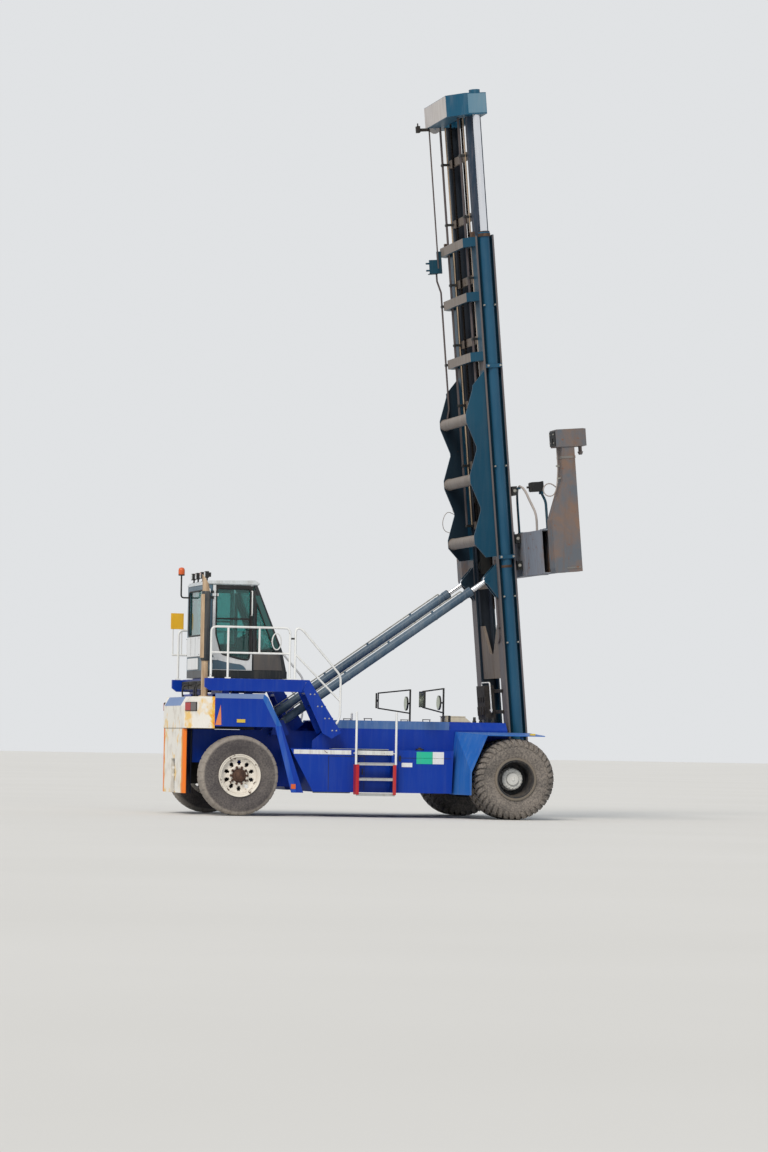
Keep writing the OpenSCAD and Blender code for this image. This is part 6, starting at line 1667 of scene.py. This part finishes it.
leg_mid, strap = 2.93, 0.0055
straps = [((0.436, 2.771, 5.26), (0.445, 3.083, 5.30)), ((0.6605, 2.771, 5.26), (0.667, 3.083, 5.30)),
          ((0.38, 2.79, 5.7302), (0.84, 3.064, 5.737))]
for y0, y1 in ((2.7765 - strap, 2.7765), (3.0775, 3.0775 + strap)):
    straps += [((0.44, y0, 5.26), (0.665, y1, 5.30)), ((0.40, y0, 3.47), (0.64, y1, 3.50))]
for _, word, flip in sides:
    body = f"arm_{word}"
    place = mast @ flip
    piece(f"arm_straps_{word}", boxes(*straps, both=False), head_grey, body, edge=0.002,
          place=place)
    cover = boxes(((0.335, 2.78, 5.47), (0.3545, 3.074, 5.71)),
                  ((0.318, leg_mid - 0.05, 5.5), (0.335, leg_mid + 0.05, 5.6)), both=False)
    piece(f"arm_head_cover_{word}", cover, black_plastic, body, edge=0.004, place=place)
    shape = bmesh.new()
    for w in (5.52, 5.66):
        for y in (2.82, 3.03):
            stub(shape, (0.329, y, w), 0.012, 0.012, turn=facing_x)
    for w in (4.95, 5.15):
        box(shape, (0.375, leg_mid - 0.02, w - 0.012), (0.43, leg_mid + 0.02, w + 0.012))
    piece(f"arm_head_bolts_{word}", shape, bright_steel, body, place=place)

# Hoses
# Rubber hoses with wire braid. One hangs in a ring behind each arm, one joins the beam to its guide,
# and thin cable loops from the mast's far plate.

hose_pale = moulded_plastic("pale_hose_cover", "#9a938f", "#c2b8b2", rough=0.55)
hose_black = moulded_plastic("black_hose_cover", "#17181a", "#3b3936", rough=0.5)


def hose(name, body, points, diameter, cover, bend, place=mast):
    """A hose along a line of points, bent round its corners."""
    line = [place @ spot for spot in rounded(points, bend, steps=6)]
    # Even steps along the line, so that the hose's rings stand one length apart
    run = [0.0]
    for before, after in zip(line, line[1:]):
        run.append(run[-1] + (after - before).length)
    count = min(40, max(15, int(run[-1] / (2 * diameter))))
    path = []
    for k in range(count):
        at = run[-1] * k / (count - 1)
        i = max(j for j in range(len(run) - 1) if run[j] <= at + 1e-9)
        share = (at - run[i]) / max(run[i + 1] - run[i], 1e-9)
        path.append(line[i].lerp(line[i + 1], min(1.0, share)))
    shape = bmesh.new()
    sweep(shape, path, diameter / 2, sides=10)
    made = piece(name, shape, cover, body)


ring_line = [(0.405, 2.93, 5.449), (0.40, 2.93, 5.1), (0.378, 2.93, 4.92), (0.352, 2.925, 4.77),
             (0.316, 2.915, 4.69), (0.245, 2.905, 4.66), (0.17, 2.895, 4.69), (0.135, 2.885, 4.77),
             (0.17, 2.875, 4.85), (0.245, 2.865, 4.885), (0.32, 2.85, 4.86), (0.39, 2.83, 4.80)]
for side, word, _ in sides:
    line = [(u, side * y, w) for u, y, w in ring_line]
    hose(f"arm_hose_{word}", f"arm_{word}", line, 0.02, hose_pale, 0.05)
guide_line = [(0.45, -1.3, 4.165), (0.46, -1.3, 4.45), (0.45, -1.02, 4.66), (0.40, -0.85, 4.92),
              (0.33, -0.74, 4.97), (0.33, -0.64, 4.80), (0.34, -0.6, 4.4), (0.34, -0.6, 4.165)]
hose("beam_hose", "spreader", guide_line, 0.04, hose_pale, 0.2)
loop_line = [(-0.377, 4.60), (-0.5, 4.67), (-0.6, 4.5), (-0.58, 4.33), (-0.474, 4.29)]
hose("mast_cable_loop", "outer_mast", [(u, 0.862, w) for u, w in loop_line], 0.012, hose_pale, 0.12)
for number, y in enumerate((-0.78, -0.62, 0.40), 1):
    line = [(-0.451, y, 2.13), (-0.6, y, 2.14), (-0.62, y, 2.0), (-0.6, y, weight_top + 0.002)]
    hose(f"rear_hose_{number}", "chassis", line, 0.026, hose_black, 0.12, place=rear_end)
